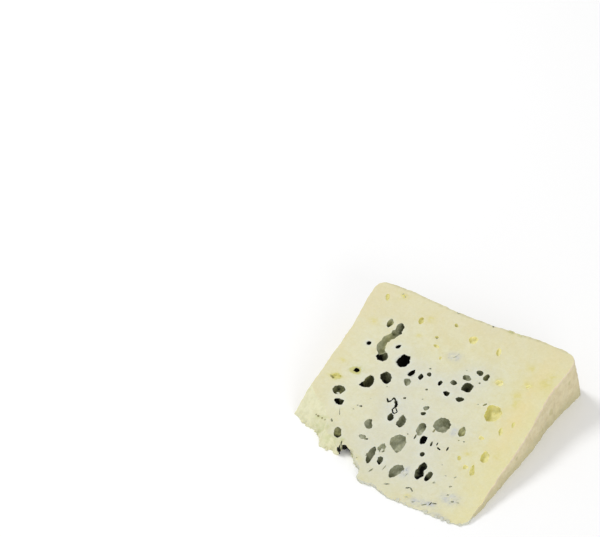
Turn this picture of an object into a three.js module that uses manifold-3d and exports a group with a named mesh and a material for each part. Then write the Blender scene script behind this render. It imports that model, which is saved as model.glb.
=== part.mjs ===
// Blue cheese wedge: a thin slice of a drum-shaped wheel, lying on one of its two cut faces.
//
// Lengths are in millimetres, +Z is up. X runs along the axle of the wheel, from its left flat rind to its
// right one. Y runs outwards from the axle, where the two knife cuts meet in the tip, to the rim. A place on
// a cut face is given by its distance across (along X) and its distance out (from the axle, along the face).

import * as THREE from 'three';
import { mergeVertices } from 'three/addons/utils/BufferGeometryUtils.js';
import { ImprovedNoise } from 'three/addons/math/ImprovedNoise.js';
import Module from 'manifold-3d';

const wasm = await Module();
wasm.setup();

// The whole wheel
const RIND_LEFT = 0.6;
const RIND_RIGHT = 88.6;
const RIM_RADIUS = 97.3;
const RIM_TAPER = 4.4;
const RIM_WAVE = 0.8;
const RIM_WAVE_LENGTH = 70;
const RIM_WAVE_CREST = 8;
const CORNER_RADIUS = 5.2;
const CORNER_STEPS = 5;
const RIND_RELIEF = 0.4;
const RIND_RELIEF_SCALE = 0.09;
const PROFILE_STEP = 7;
const TURNING_STEPS = 230;

// Where the flat rinds swell or sink: the distance out of each swelling, its reach and its height
const LEFT_SWELLS = [[98, 20, 2.4]];
const RIGHT_SWELLS = [[90, 14, 2.3], [50, 16, 1], [0, 18, -1]];

// The slice, and how far its soft foot has spread
const SLICE_ANGLE = THREE.MathUtils.degToRad(12.2);
const TIP_THICKNESS = 0.5;
const CUTTER_REACH = 130;
const CUTTER_MARGIN = 20;
const SIDE_SLUMP = 1.2;
const RIM_SLUMP_LEFT = 1;
const RIM_SLUMP_RIGHT = 3.6;
const SLUMP_HEIGHT = 21;
const TIP_SPREAD = 1.3;
const TIP_SPREAD_OUT = [27, 42];

// The ragged tip: where it broke off, as distances across and out, from the left rind to the right one
const TIP_LINE = [
  [-5, 30], [-1.6, 27.4], [2.4, 25.2], [6, 23.3], [10, 22.2], [14.4, 18.8], [16, 15.6], [19.2, 14.3],
  [22, 14.9], [25.2, 14.1], [25, 17], [26.1, 18.6], [27.8, 19.1], [31.4, 15.2], [35, 11.3], [37.9, 8.8],
  [38.6, 6.5], [39.3, 4.6], [41.9, 3.6], [46.2, 4.4], [49.3, 2.9], [54.6, 1.2], [59, 1], [68.5, 0.4],
  [76, 0.1], [82.6, -0.3], [86.2, 0.5], [88.6, 3.6], [89.4, 8], [95, 12],
];
const TIP_STEP = 1.5;
const TIP_HEIGHT = 12;
const TIP_LAYERS = 8;

// How the wall of the tip leans back and how strongly it curves, at distances across; it overhangs in the notch
const TIP_LEANS = [[19, 0.55], [25.2, 0.1], [26, -0.65], [28.5, -0.65], [31, 0.1]];
const TIP_CURVES = [[19, 0.09], [25.2, 0]];
const TIP_ROUGHNESS = 0.8;
const TIP_ROUGHNESS_SCALE = 0.42;
const TIP_CRUMBS = 12;
const CRUMB_SIZE = [0.5, 1.1];
const CRUMB_STRETCH = [0.06, 0.88];

// Holes on the upper cut face. Each row is: across, out, longest and shortest width, and the turn of the
// longest one in degrees, counted from the X direction towards the rim.
const DEEP_HOLES = [
  [18.7, 79.5, 5.4, 3.2, 110], [19.1, 63.7, 5.2, 4.8, 115], [27.6, 64.5, 6.8, 5.8, 105],
  [10.6, 67.5, 2.4, 1.8, 90], [22.6, 70.5, 2.8, 1.6, 65], [12.9, 53, 2.6, 2.2, 130],
  [19.6, 49, 9, 5.4, 95], [25.9, 54, 7, 5.2, 120], [34.1, 60, 3.8, 2.6, 80], [38.1, 60.5, 3.4, 2.3, 105],
  [40.9, 62.7, 2.5, 1.8, 100], [14.1, 35.5, 4.5, 3.4, 170], [46.8, 60.7, 3, 2.4, 100],
  [51.4, 62.8, 3.4, 3, 150], [57.7, 62.5, 5.6, 4.6, 90], [51.4, 56.7, 2.9, 2.4, 125],
  [57.8, 55.8, 3.7, 2.7, 40], [58.9, 71.5, 3.5, 2.8, 135], [62.6, 70.3, 3.9, 2.6, 100],
  [47.8, 43.9, 2.6, 2, 55], [37, 36.5, 5, 3.2, 110], [41.9, 36.5, 6.1, 3.8, 105],
  [53.9, 31.7, 4.4, 3.2, 105], [57.1, 25.2, 2.6, 2, 75], [32, 23.1, 2.8, 2.6, 0],
  [38.9, 16.7, 8.7, 3.4, 97], [43.3, 16.1, 5.3, 2.3, 108], [51.7, 13.7, 7.2, 5, 80],
  [60.3, 17.7, 8.4, 2.9, 95], [64.4, 17.5, 5, 2.4, 85],
];
const OPEN_HOLES = [
  [13.4, 80.5, 5.2, 3.3, 100], [34.4, 55.8, 4.7, 3, 110], [11.4, 40.7, 5, 4.6, 10],
  [55.2, 67.1, 3.9, 3.4, 0], [47.8, 46.7, 2.5, 2.3, 0], [30.5, 29.8, 4.7, 4, 130],
  [21.3, 21.3, 5.7, 3.4, 115], [51, 36.5, 6.7, 4, 100], [57.5, 41.5, 8, 6.9, 120],
  [66.1, 41.7, 4.6, 2.8, 100], [45.7, 26.3, 9.3, 6.6, 115], [41.3, 21.5, 4.9, 3.5, 95],
];
const PALE_PITS = [
  [6, 92.9, 4.4, 1.7, 115], [24.6, 86.9, 4, 2.3, 110], [38.9, 90.3, 2.4, 1.2, 145],
  [34.5, 81.5, 2.1, 1.3, 0], [36.7, 77.1, 3.1, 1.9, 165], [48.5, 85.7, 3.9, 3.4, 125],
  [60.9, 84.5, 4.6, 1.8, 110], [6.9, 46.8, 5, 2.8, 20], [72.7, 54.9, 7.4, 6.6, 130],
  [83, 53.2, 3, 1.2, 100], [80.1, 47.8, 4.6, 1.6, 105], [74.6, 42, 2.4, 2, 0],
  [80.4, 33.5, 5.9, 3.2, 110], [78.7, 25.5, 5.3, 2.2, 105], [71.3, 29.5, 2.4, 1.6, 110],
  [75.4, 26.5, 2.4, 2.2, 0], [68.5, 70.1, 3.2, 2.5, 0], [11.9, 95.9, 2.8, 1.5, 150],
];
const CRACKS = [
  [17.4, 30.5, 5.2, 0.8, 120], [58, 31.2, 2.5, 1, 105], [60.9, 31, 3.8, 1, 150], [65, 31.5, 2.3, 0.9, 95],
  [46.6, 12.7, 2.3, 0.9, 90], [42.3, 10.3, 2.8, 0.9, 90], [51.3, 6.5, 2.3, 1, 35],
  [59.6, 8.1, 3.4, 1, 35], [71.2, 5.1, 4.7, 1.2, 45], [68.4, 57.4, 2.3, 1.2, 55],
  [50.8, 31.9, 3.4, 0.9, 95],
];
const SPECKS = [
  [37.5, 47.7, 1.3, 1.1, 30], [23.1, 36.7, 1.4, 1.2, 0], [43.5, 55.1, 1.3, 1.2, 0],
  [53.1, 87.8, 1.6, 1.3, 0], [10.7, 26.1, 1.5, 1.3, 0], [13.7, 26.1, 1.3, 1.2, 0],
  [16.3, 25.9, 1.6, 0.9, 130], [74.5, 15.3, 1.9, 1.1, 45], [79.9, 73.1, 1.3, 1.2, 0],
  [41.3, 71.9, 1.5, 1.1, 115], [66.3, 23.5, 1.2, 1, 0], [76.7, 10.1, 1.6, 1.2, 60],
];

// How deep each kind is against its shortest width, and how far its widest level lies under the face
const DEEP = { depth: 0.66, undercut: 0.3 };
const OPEN = { depth: 0.36, undercut: 0.06 };
const PALE = { depth: 0.34, undercut: 0.04 };
const CRACK = { depth: 1.1, undercut: 0.1 };
const DEEPEST_SHARE = 0.7;

// Channels that the mould has opened: the middle line, as distances across and out, and the width
const SQUIGGLE = [
  [31.2, 44.5], [32.6, 44.5], [33.6, 46.1], [35.8, 44.1], [35.5, 42], [37.4, 41], [37.2, 39.6], [36.6, 38.5],
];
const CHANNELS = [
  { line: [[18.7, 78.5], [18.1, 75.5], [16.3, 71.9], [16.3, 67.9], [18.5, 64.5]], width: 3.7 },
  { line: SQUIGGLE, width: 1.2 },
];
const CHANNEL_SIDES = 8;
const CHANNEL_SINK = 0.12;

// Holes on the lower cut face, placed by a seeded draw
const UNDER_HOLES = 20;
const UNDER_TRIES = 600;
const UNDER_ACROSS = [6, 84];
const UNDER_OUT = [34, 93];
const UNDER_WIDTH = [2.2, 8];
const UNDER_ROUNDNESS = [0.5, 0.95];
const UNDER_GAP = 1.6;
const UNDER_FLOOR = 2;
const REST_SPOT = [44, 62, 6];

const LUMP_ROUGHNESS = 0.3;
const LUMP_RIPPLE = 1.5;
const LARGE_HOLE = 6.5;
const SMALL_HOLE = 3.4;

const noise = new ImprovedNoise();

function seededDraw(seed) {
  let state = seed;
  return () => {
    state = (state + 0x6d2b79f5) | 0;
    let mixed = Math.imul(state ^ (state >>> 15), 1 | state);
    mixed = (mixed + Math.imul(mixed ^ (mixed >>> 7), 61 | mixed)) ^ mixed;
    return ((mixed ^ (mixed >>> 14)) >>> 0) / 2 ** 32;
  };
}

function between([low, high], share) {
  return low + (high - low) * share;
}

// The value at a place, on straight lines from row to row; each row is a place and its value
function valueAt(rows, place) {
  const after = rows.findIndex((row) => row[0] > place);
  if (after === 0) return rows[0][1];
  if (after < 0) return rows[rows.length - 1][1];
  return THREE.MathUtils.mapLinear(place, rows[after - 1][0], rows[after][0], rows[after - 1][1], rows[after][1]);
}

// Smooth noise at a place; each channel gives its own pattern
function ripple(point, scale, channel) {
  return noise.noise(point.x * scale + channel, point.y * scale + 0.37, point.z * scale);
}

// Turns a closed three.js geometry into a solid that can be joined and cut
function solidFrom(geometry) {
  geometry.deleteAttribute('normal');
  geometry.deleteAttribute('uv');
  const merged = mergeVertices(geometry, 1e-4);
  const corners = merged.index.array;
  const kept = [];
  for (let i = 0; i < corners.length; i += 3) {
    const [a, b, c] = [corners[i], corners[i + 1], corners[i + 2]];
    if (a !== b && b !== c && c !== a) kept.push(a, b, c);
  }
  const mesh = new wasm.Mesh({
    numProp: 3,
    vertProperties: Float32Array.from(merged.getAttribute('position').array),
    triVerts: Uint32Array.from(kept),
  });
  return new wasm.Manifold(mesh);
}

function geometryFrom(solid) {
  const mesh = solid.getMesh();
  const geometry = new THREE.BufferGeometry();
  geometry.setAttribute('position', new THREE.BufferAttribute(Float32Array.from(mesh.vertProperties), 3));
  geometry.setIndex(new THREE.BufferAttribute(Uint32Array.from(mesh.triVerts), 1));
  geometry.computeVertexNormals();
  return geometry;
}

// Moves every vertex of a geometry by a function of its place
function movePoints(geometry, move) {
  const places = geometry.getAttribute('position');
  const point = new THREE.Vector3();
  for (let i = 0; i < places.count; i++) {
    move(point.fromBufferAttribute(places, i));
    places.setXYZ(i, point.x, point.y, point.z);
  }
}

// Swaps the axes in turn: what ran along X, Y, Z then runs along Y, Z, X
function turnAxes(geometry) {
  geometry.applyMatrix4(new THREE.Matrix4().set(0, 0, 1, 0, 1, 0, 0, 0, 0, 1, 0, 0, 0, 0, 0, 1));
}

function rimRadius(across) {
  const middle = (RIND_LEFT + RIND_RIGHT) / 2;
  const taper = RIM_TAPER * (middle - across) / (RIND_RIGHT - RIND_LEFT);
  return RIM_RADIUS + taper + RIM_WAVE * Math.cos(2 * Math.PI * (across - RIM_WAVE_CREST) / RIM_WAVE_LENGTH);
}

function swelling(swells, out) {
  let sum = 0;
  for (const [centre, reach, height] of swells) sum += height * Math.exp(-(((out - centre) / reach) ** 2));
  return sum;
}

function leftRind(out) {
  return RIND_LEFT - swelling(LEFT_SWELLS, out);
}

function rightRind(out) {
  return RIND_RIGHT + swelling(RIGHT_SWELLS, out);
}

// Half of the wheel's section: up the left flat rind, round its corner, along the rim, down the right rind
function wheelProfile() {
  const points = [];
  const leftEnd = rimRadius(RIND_LEFT) - CORNER_RADIUS;
  const rightEnd = rimRadius(RIND_RIGHT) - CORNER_RADIUS;
  const leftCorner = leftRind(leftEnd) + CORNER_RADIUS;
  const rightCorner = rightRind(rightEnd) - CORNER_RADIUS;
  const flatSteps = Math.ceil(leftEnd / PROFILE_STEP);
  const rimSteps = Math.ceil((rightCorner - leftCorner) / PROFILE_STEP);
  for (let i = 0; i <= flatSteps; i++) {
    const out = leftEnd * i / flatSteps;
    points.push(new THREE.Vector2(out, leftRind(out)));
  }
  for (let i = 1; i < CORNER_STEPS; i++) {
    const turn = Math.PI / 2 * i / CORNER_STEPS;
    const out = leftEnd + CORNER_RADIUS * Math.sin(turn);
    points.push(new THREE.Vector2(out, leftCorner - CORNER_RADIUS * Math.cos(turn)));
  }
  for (let i = 0; i <= rimSteps; i++) {
    const across = leftCorner + (rightCorner - leftCorner) * i / rimSteps;
    points.push(new THREE.Vector2(rimRadius(across), across));
  }
  for (let i = 1; i < CORNER_STEPS; i++) {
    const turn = Math.PI / 2 * i / CORNER_STEPS;
    const out = rightEnd + CORNER_RADIUS * Math.cos(turn);
    points.push(new THREE.Vector2(out, rightCorner + CORNER_RADIUS * Math.sin(turn)));
  }
  for (let i = flatSteps; i >= 0; i--) {
    const out = rightEnd * i / flatSteps;
    points.push(new THREE.Vector2(out, rightRind(out)));
  }
  return points;
}

// Spreads the foot of the slice sideways and outwards, most at the right end of the rim and the left end of
// the tip
function slump(point) {
  const middle = (RIND_LEFT + RIND_RIGHT) / 2;
  const low = 1 - THREE.MathUtils.clamp(point.z / SLUMP_HEIGHT, 0, 1);
  const rimSlump = THREE.MathUtils.mapLinear(point.x, RIND_LEFT, RIND_RIGHT, RIM_SLUMP_LEFT, RIM_SLUMP_RIGHT);
  const tipShare = 1 - THREE.MathUtils.smoothstep(point.y, ...TIP_SPREAD_OUT);
  const leftShare = Math.max(1 - point.x / middle, 0);
  point.x += SIDE_SLUMP * low * (point.x - middle) / middle - TIP_SPREAD * low * tipShare * leftShare;
  point.y += rimSlump * low * point.y / RIM_RADIUS;
}

// The wheel, turned about its axle, with the soft unevenness of a hand-turned rind
function wheel() {
  const geometry = new THREE.LatheGeometry(wheelProfile(), TURNING_STEPS);
  turnAxes(geometry);
  turnAxes(geometry);
  movePoints(geometry, (point) => {
    const out = Math.hypot(point.y, point.z);
    if (out < 1) return;
    const along = RIND_RELIEF * ripple(point, RIND_RELIEF_SCALE, 9);
    const rise = 1 + RIND_RELIEF * ripple(point, RIND_RELIEF_SCALE, 31) / out;
    point.set(point.x + along, point.y * rise, point.z * rise);
    if (point.y > 0) slump(point);
  });
  return solidFrom(geometry);
}

// The space between the two knife cuts, as a long bar with a wedge-shaped section
function sliceBar() {
  const section = new THREE.Shape();
  section.moveTo(-CUTTER_MARGIN, 0);
  section.lineTo(CUTTER_REACH, 0);
  section.lineTo(CUTTER_REACH, TIP_THICKNESS + CUTTER_REACH * Math.tan(SLICE_ANGLE));
  section.lineTo(0, TIP_THICKNESS);
  section.lineTo(-CUTTER_MARGIN, TIP_THICKNESS);
  const geometry = new THREE.ExtrudeGeometry(section, { depth: CUTTER_REACH, bevelEnabled: false });
  turnAxes(geometry);
  geometry.translate(-CUTTER_MARGIN, 0, 0);
  return solidFrom(geometry);
}

function tipCurve() {
  return new THREE.SplineCurve(TIP_LINE.map(([across, out]) => new THREE.Vector2(across, out)));
}

// What broke away at the tip: everything on the near side of a crumbly wall
function brokenTip() {
  const line = tipCurve();
  const outline = new THREE.Shape(line.getSpacedPoints(Math.round(line.getLength() / TIP_STEP)));
  const leftEnd = TIP_LINE[0];
  const rightEnd = TIP_LINE[TIP_LINE.length - 1];
  outline.lineTo(rightEnd[0] + CUTTER_MARGIN, rightEnd[1]);
  outline.lineTo(rightEnd[0] + CUTTER_MARGIN, -CUTTER_MARGIN);
  outline.lineTo(leftEnd[0] - CUTTER_MARGIN, -CUTTER_MARGIN);
  outline.lineTo(leftEnd[0] - CUTTER_MARGIN, leftEnd[1]);
  const layers = { depth: TIP_HEIGHT, steps: TIP_LAYERS, bevelEnabled: false };
  const geometry = new THREE.ExtrudeGeometry(outline, layers);
  geometry.translate(0, 0, -TIP_HEIGHT / TIP_LAYERS);
  movePoints(geometry, (point) => {
    if (point.y <= -CUTTER_MARGIN) return;
    const height = Math.max(point.z, 0);
    const back = valueAt(TIP_LEANS, point.x) * height + valueAt(TIP_CURVES, point.x) * height ** 2;
    point.y += back + TIP_ROUGHNESS * ripple(point, TIP_ROUGHNESS_SCALE, 5);
  });
  return solidFrom(geometry);
}

// An uneven, rounded lump with the three given half widths
function lump(halfX, halfY, halfZ, detail, character) {
  const geometry = new THREE.IcosahedronGeometry(1, detail);
  movePoints(geometry, (point) => {
    point.multiplyScalar(1 + LUMP_ROUGHNESS * ripple(point, LUMP_RIPPLE, character));
    point.set(point.x * halfX, point.y * halfY, point.z * halfZ);
  });
  return geometry;
}

function thicknessAt(out) {
  return TIP_THICKNESS + out * Math.sin(SLICE_ANGLE);
}

// Lays a geometry made round the origin onto the upper cut face, at its place across and out
function layOnUpperFace(geometry, across, out) {
  geometry.translate(across, out, 0);
  geometry.rotateX(SLICE_ANGLE);
  geometry.translate(0, 0, TIP_THICKNESS);
}

function holeShape([, out, longest, shortest, turn], kind, character, roomBelow) {
  const half = Math.min(kind.depth * shortest, DEEPEST_SHARE * roomBelow / (1 + kind.undercut));
  const detail = longest >= LARGE_HOLE ? 2 : longest >= SMALL_HOLE ? 1 : 0;
  const widening = 1 / Math.sqrt(1 - kind.undercut ** 2);
  const geometry = lump(longest / 2 * widening, shortest / 2 * widening, half, detail, character);
  geometry.translate(0, 0, -half * kind.undercut);
  geometry.rotateZ(THREE.MathUtils.degToRad(turn));
  return geometry;
}

function upperHoles() {
  const groups = [[DEEP_HOLES, DEEP], [OPEN_HOLES, OPEN], [PALE_PITS, PALE], [CRACKS, CRACK], [SPECKS, DEEP]];
  const solids = [];
  for (const [rows, kind] of groups) {
    for (const row of rows) {
      const geometry = holeShape(row, kind, row[0] * 3.1 + row[1], thicknessAt(row[1]));
      layOnUpperFace(geometry, row[0], row[1]);
      solids.push(solidFrom(geometry));
    }
  }
  return solids;
}

function channels() {
  const solids = [];
  for (const { line, width } of CHANNELS) {
    const sink = -width * CHANNEL_SINK;
    const places = line.map(([across, out]) => new THREE.Vector3(across, out, sink));
    const route = new THREE.CatmullRomCurve3(places);
    const section = new THREE.Shape();
    section.absarc(0, 0, width / 2, 0, 2 * Math.PI);
    const steps = Math.ceil(route.getLength() / width * 2);
    const geometry = new THREE.ExtrudeGeometry(section, {
      curveSegments: CHANNEL_SIDES,
      steps,
      extrudePath: route,
      bevelEnabled: false,
    });
    layOnUpperFace(geometry, 0, 0);
    solids.push(solidFrom(geometry));
  }
  return solids;
}

// True where a hole in the lower face would meet another one, or leave too little cheese above it
function crowded(across, out, longest, half, chosen) {
  const [restAcross, restOut, restRadius] = REST_SPOT;
  if (Math.hypot(across - restAcross, out - restOut) < restRadius + longest / 2) return true;
  const near = (row, gap) => Math.hypot(across - row[0], out - row[1]) < (longest + row[2]) / 2 + gap;
  if (chosen.some((row) => near(row, UNDER_GAP))) return true;
  const left = thicknessAt(out) - half - UNDER_FLOOR;
  return DEEP_HOLES.some((row) => near(row, 0) && left < DEEP.depth * (1 + DEEP.undercut) * row[3]);
}

function underHoles() {
  const draw = seededDraw(7);
  const chosen = [];
  for (let i = 0; i < UNDER_TRIES && chosen.length < UNDER_HOLES; i++) {
    const across = between(UNDER_ACROSS, draw());
    const out = between(UNDER_OUT, draw());
    const longest = between(UNDER_WIDTH, draw() ** 1.7);
    const shortest = longest * between(UNDER_ROUNDNESS, draw());
    const turn = 180 * draw();
    if (!crowded(across, out, longest, DEEP.depth * shortest, chosen)) {
      chosen.push([across, out, longest, shortest, turn]);
    }
  }
  return chosen.map((row) => {
    const geometry = holeShape(row, DEEP, row[0] * 1.7 + row[1], thicknessAt(row[1]));
    geometry.rotateX(Math.PI);
    geometry.translate(row[0], row[1], 0);
    return solidFrom(geometry);
  });
}

// Loose-looking grains that still hang on to the broken tip, sitting on the table
function tipCrumbs() {
  const draw = seededDraw(23);
  const line = tipCurve();
  const solids = [];
  for (let i = 0; i < TIP_CRUMBS; i++) {
    const place = line.getPointAt(between(CRUMB_STRETCH, (i + draw()) / TIP_CRUMBS));
    const size = between(CRUMB_SIZE, draw());
    const geometry = lump(size * 1.3, size, size, 0, i * 2.3);
    geometry.rotateZ(Math.PI * draw());
    geometry.computeBoundingBox();
    geometry.translate(place.x, place.y + size / 2, -geometry.boundingBox.min.z);
    solids.push(solidFrom(geometry));
  }
  return solids;
}

function cheeseSolid() {
  const bare = wheel().intersect(sliceBar()).subtract(brokenTip());
  const slice = wasm.Manifold.union([bare, ...tipCrumbs()]);
  const holes = wasm.Manifold.union([...upperHoles(), ...channels(), ...underHoles()]);
  return slice.subtract(holes);
}

const geometry = geometryFrom(cheeseSolid());
geometry.computeBoundingBox();
const middle = geometry.boundingBox.getCenter(new THREE.Vector3());

const paste = new THREE.MeshStandardMaterial({ color: 0xe2ddb9, roughness: 0.55, metalness: 0 });
const wedge = new THREE.Mesh(geometry, paste);
wedge.name = 'cheese_wedge';
wedge.position.set(-middle.x, -middle.y, 0);

const model = new THREE.Group();
model.add(wedge);

export default model;
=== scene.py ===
# %% [markdown]
# # A wedge of blue cheese
# The real thing is a thin slice of a drum-shaped wheel, lying on one of its two cut faces. The knife
# leaves the cut faces smooth, the pale rind stays on three sides, and the thin end has broken away in
# crumbs. Mould grows wherever air got in, so the holes are lined with it, from a velvety grey-green to
# nearly black. The lesson builds the slice as one closed mesh from four simple ideas: a slab between the
# two knife cuts, the section of the wheel, a crumbling wall at the tip, and one cutter for each hole.
# Booleans put them together, and one procedural material paints them.
#
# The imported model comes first. It fixes the size and the place, and the visual piece must stay in its
# box.

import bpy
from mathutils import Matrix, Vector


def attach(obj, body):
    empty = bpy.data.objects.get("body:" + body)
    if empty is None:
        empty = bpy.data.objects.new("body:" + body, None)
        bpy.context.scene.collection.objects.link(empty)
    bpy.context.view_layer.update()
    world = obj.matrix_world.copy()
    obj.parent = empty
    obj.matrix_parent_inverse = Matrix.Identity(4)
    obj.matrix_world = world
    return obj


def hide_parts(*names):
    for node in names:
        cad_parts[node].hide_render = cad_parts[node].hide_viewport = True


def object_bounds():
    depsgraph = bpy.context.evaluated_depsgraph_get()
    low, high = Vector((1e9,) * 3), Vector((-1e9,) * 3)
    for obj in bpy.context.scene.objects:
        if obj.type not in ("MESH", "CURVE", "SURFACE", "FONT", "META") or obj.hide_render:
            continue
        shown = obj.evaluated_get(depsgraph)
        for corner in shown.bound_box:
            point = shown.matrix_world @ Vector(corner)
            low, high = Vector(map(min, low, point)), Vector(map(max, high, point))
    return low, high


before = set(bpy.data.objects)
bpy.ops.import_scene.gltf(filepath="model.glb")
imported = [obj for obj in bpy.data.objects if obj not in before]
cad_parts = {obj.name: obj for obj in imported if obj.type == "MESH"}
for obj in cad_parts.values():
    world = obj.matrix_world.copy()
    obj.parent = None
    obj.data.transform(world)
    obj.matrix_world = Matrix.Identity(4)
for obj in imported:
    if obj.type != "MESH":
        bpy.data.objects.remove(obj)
cad_low, cad_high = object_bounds()
print("box of the solid, mm:", [round(1000 * v, 2) for v in (*cad_low, *cad_high)])

# %% Modules
import math
import random
from typing import NamedTuple

import bmesh
import bpy
import numpy as np
from mathutils import Vector, noise

# %% [markdown]
# ## Sizes
# Everything is worked out in millimetres on the whole wheel, as a cheesemaker would measure it. A place
# is given by its distance across (along the axle, from the left flat rind to the right one) and its
# distance out (from the axle towards the rim). Only the last step turns it into metres in the shared
# frame.

# %% Sizes of the wheel and the slice
RIND_LEFT = 0.6
RIND_RIGHT = 88.6
RIM_RADIUS = 97.3
RIM_TAPER = 4.4
RIM_WAVE = 0.8
RIM_WAVE_LENGTH = 70
RIM_WAVE_CREST = 8
CORNER_RADIUS = 5.2
LEFT_SWELLS = [(98, 20, 2.4)]
RIGHT_SWELLS = [(90, 14, 2.3), (50, 16, 1), (0, 18, -1)]
SLICE_ANGLE = math.radians(12.2)
TIP_THICKNESS = 0.5
SIDE_SLUMP = 1.2
RIM_SLUMP_LEFT = 1
RIM_SLUMP_RIGHT = 3.6
SLUMP_HEIGHT = 21
TIP_SPREAD = 1.3
TIP_SPREAD_OUT = (27, 42)
WHEEL_TO_FRAME = np.array([44.734, 50.339, 0])
MM = 0.001
SLOPE = math.tan(SLICE_ANGLE)
RISE = math.sin(SLICE_ANGLE)
RUN = math.cos(SLICE_ANGLE)
print("the slice is", round(TIP_THICKNESS + SLOPE * RIM_RADIUS, 1), "mm thick at the rim")

# %% [markdown]
# ## Small tools
# A closed mesh can be made from a stack of rings: each ring is a loop of points, neighbours are joined by
# four-sided faces, and a fan closes each end. The wheel's section, the tip's wall and every hole are such
# stacks, so one function makes them all. Each face keeps a number that says what surface it is, and the
# booleans carry that number through. It later tells the material where the rind or the mould is. The
# Manifold solver is the quickest one for so many cutters. It needs closed meshes, so each piece is one.

# %% Closed meshes from rings
CUT, RIND, BROKEN, LINED, PIT = range(5)
print("surfaces: cut", CUT, "rind", RIND, "broken", BROKEN, "lined", LINED, "pit", PIT)


def to_mesh(name, points, faces, surface, hole=-1):
    mesh = bpy.data.meshes.new(name)
    mesh.from_pydata([tuple(p) for p in points], [], faces)
    for label, value in (("surface", surface), ("hole", hole)):
        layer = mesh.attributes.new(label, "INT", "FACE")
        layer.data.foreach_set("value", np.full(len(mesh.polygons), value, np.int32))
    made = bpy.data.objects.new(name, mesh)
    bpy.context.scene.collection.objects.link(made)
    return made


def stack(name, rings, surface, hole=-1, first_tip=None, last_tip=None):
    """A closed mesh from loops of points, with a fan to a middle point at each end."""
    count, around = len(rings), len(rings[0])
    points = np.concatenate([*rings, [rings[0].mean(0) if first_tip is None else first_tip],
                             [rings[-1].mean(0) if last_tip is None else last_tip]])
    faces = []
    for level in range(count - 1):
        for i in range(around):
            j = (i + 1) % around
            low, high = level * around, (level + 1) * around
            faces.append((low + i, low + j, high + j, high + i))
    bottom, top = count * around, count * around + 1
    last = (count - 1) * around
    for i in range(around):
        j = (i + 1) % around
        faces.append((j, i, bottom))
        faces.append((last + i, last + j, top))
    made = to_mesh(name, points, faces, surface, hole)
    face_outwards(made)
    return made


def face_outwards(made):
    work = bmesh.new()
    work.from_mesh(made.data)
    bmesh.ops.recalc_face_normals(work, faces=work.faces)
    work.to_mesh(made.data)
    work.free()


# %% Reading, moving and combining meshes
def vectors(items, label):
    flat = np.empty(len(items) * 3, np.float32)
    items.foreach_get(label, flat)
    return flat.reshape(-1, 3).astype(float)


def points_of(mesh):
    return vectors(mesh.vertices, "co")


def normals_of(mesh):
    return vectors(mesh.vertex_normals, "vector")


def put_points(mesh, points):
    mesh.vertices.foreach_set("co", points.astype(np.float32).ravel())
    mesh.update()


def combine(body, others, operation):
    """Joins or cuts a body with several closed meshes at once, and removes them."""
    group = bpy.data.collections.new("operands")
    for other in others:
        group.objects.link(other)
    change = body.modifiers.new("combine", "BOOLEAN")
    change.operation = operation
    change.solver = "MANIFOLD"
    change.operand_type = "COLLECTION"
    change.collection = group
    shown = body.evaluated_get(bpy.context.evaluated_depsgraph_get())
    result = bpy.data.meshes.new_from_object(shown)
    body.modifiers.clear()
    body.data = result
    for other in others:
        bpy.data.objects.remove(other)
    bpy.data.collections.remove(group)
    return body


# %% Noise over many points
def ripple(points, length, channel):
    """Smooth noise from -1 to 1 that changes over the given length in mm."""
    shift = Vector((channel, 0.37, 0))
    return np.array([noise.noise(Vector(p) / length + shift) for p in points])


def bumps(points, rows, shift=0):
    """The sum of several ripples. A row gives the length, the height and the channel of one."""
    return sum(height * ripple(points, length, channel + shift) for length, height, channel in rows)


def crumble(points, length, channel):
    """Distance to the middle of the nearest crumb, about 0 to 1, for crumbs of the given size in mm."""
    shift = Vector((channel, 0.37, 0))
    return np.array([noise.voronoi(Vector(p) / length + shift)[0][0] for p in points])


def smooth(low, high, value):
    share = np.clip((np.asarray(value, float) - low) / (high - low), 0, 1)
    return share * share * (3 - 2 * share)


def between(limits, share):
    return limits[0] + (limits[1] - limits[0]) * share


# %% [markdown]
# ## The slab between the cuts
# A long knife makes two flat cuts that meet near the axle. A box with a fine grid on its top and bottom
# stands for the cheese between them. The grid lets the faces carry a little relief, because a knife drags
# the soft paste along and leaves faint smears. The bottom stays at the table, so its relief only goes up.

# %% Slab
SLAB_ACROSS = (-8, 98)
SLAB_OUT = (-4, 108)
SLAB_STEP = 0.9
SMEAR_HEIGHT = 0.12
SMEAR_SIZE = np.array([13, 6, 13])
DIMPLES = [(3.4, 0.07, 8), (1.8, 0.05, 13)]


def upper_height(out_flat):
    return TIP_THICKNESS + np.maximum(out_flat, 0) * SLOPE


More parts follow.
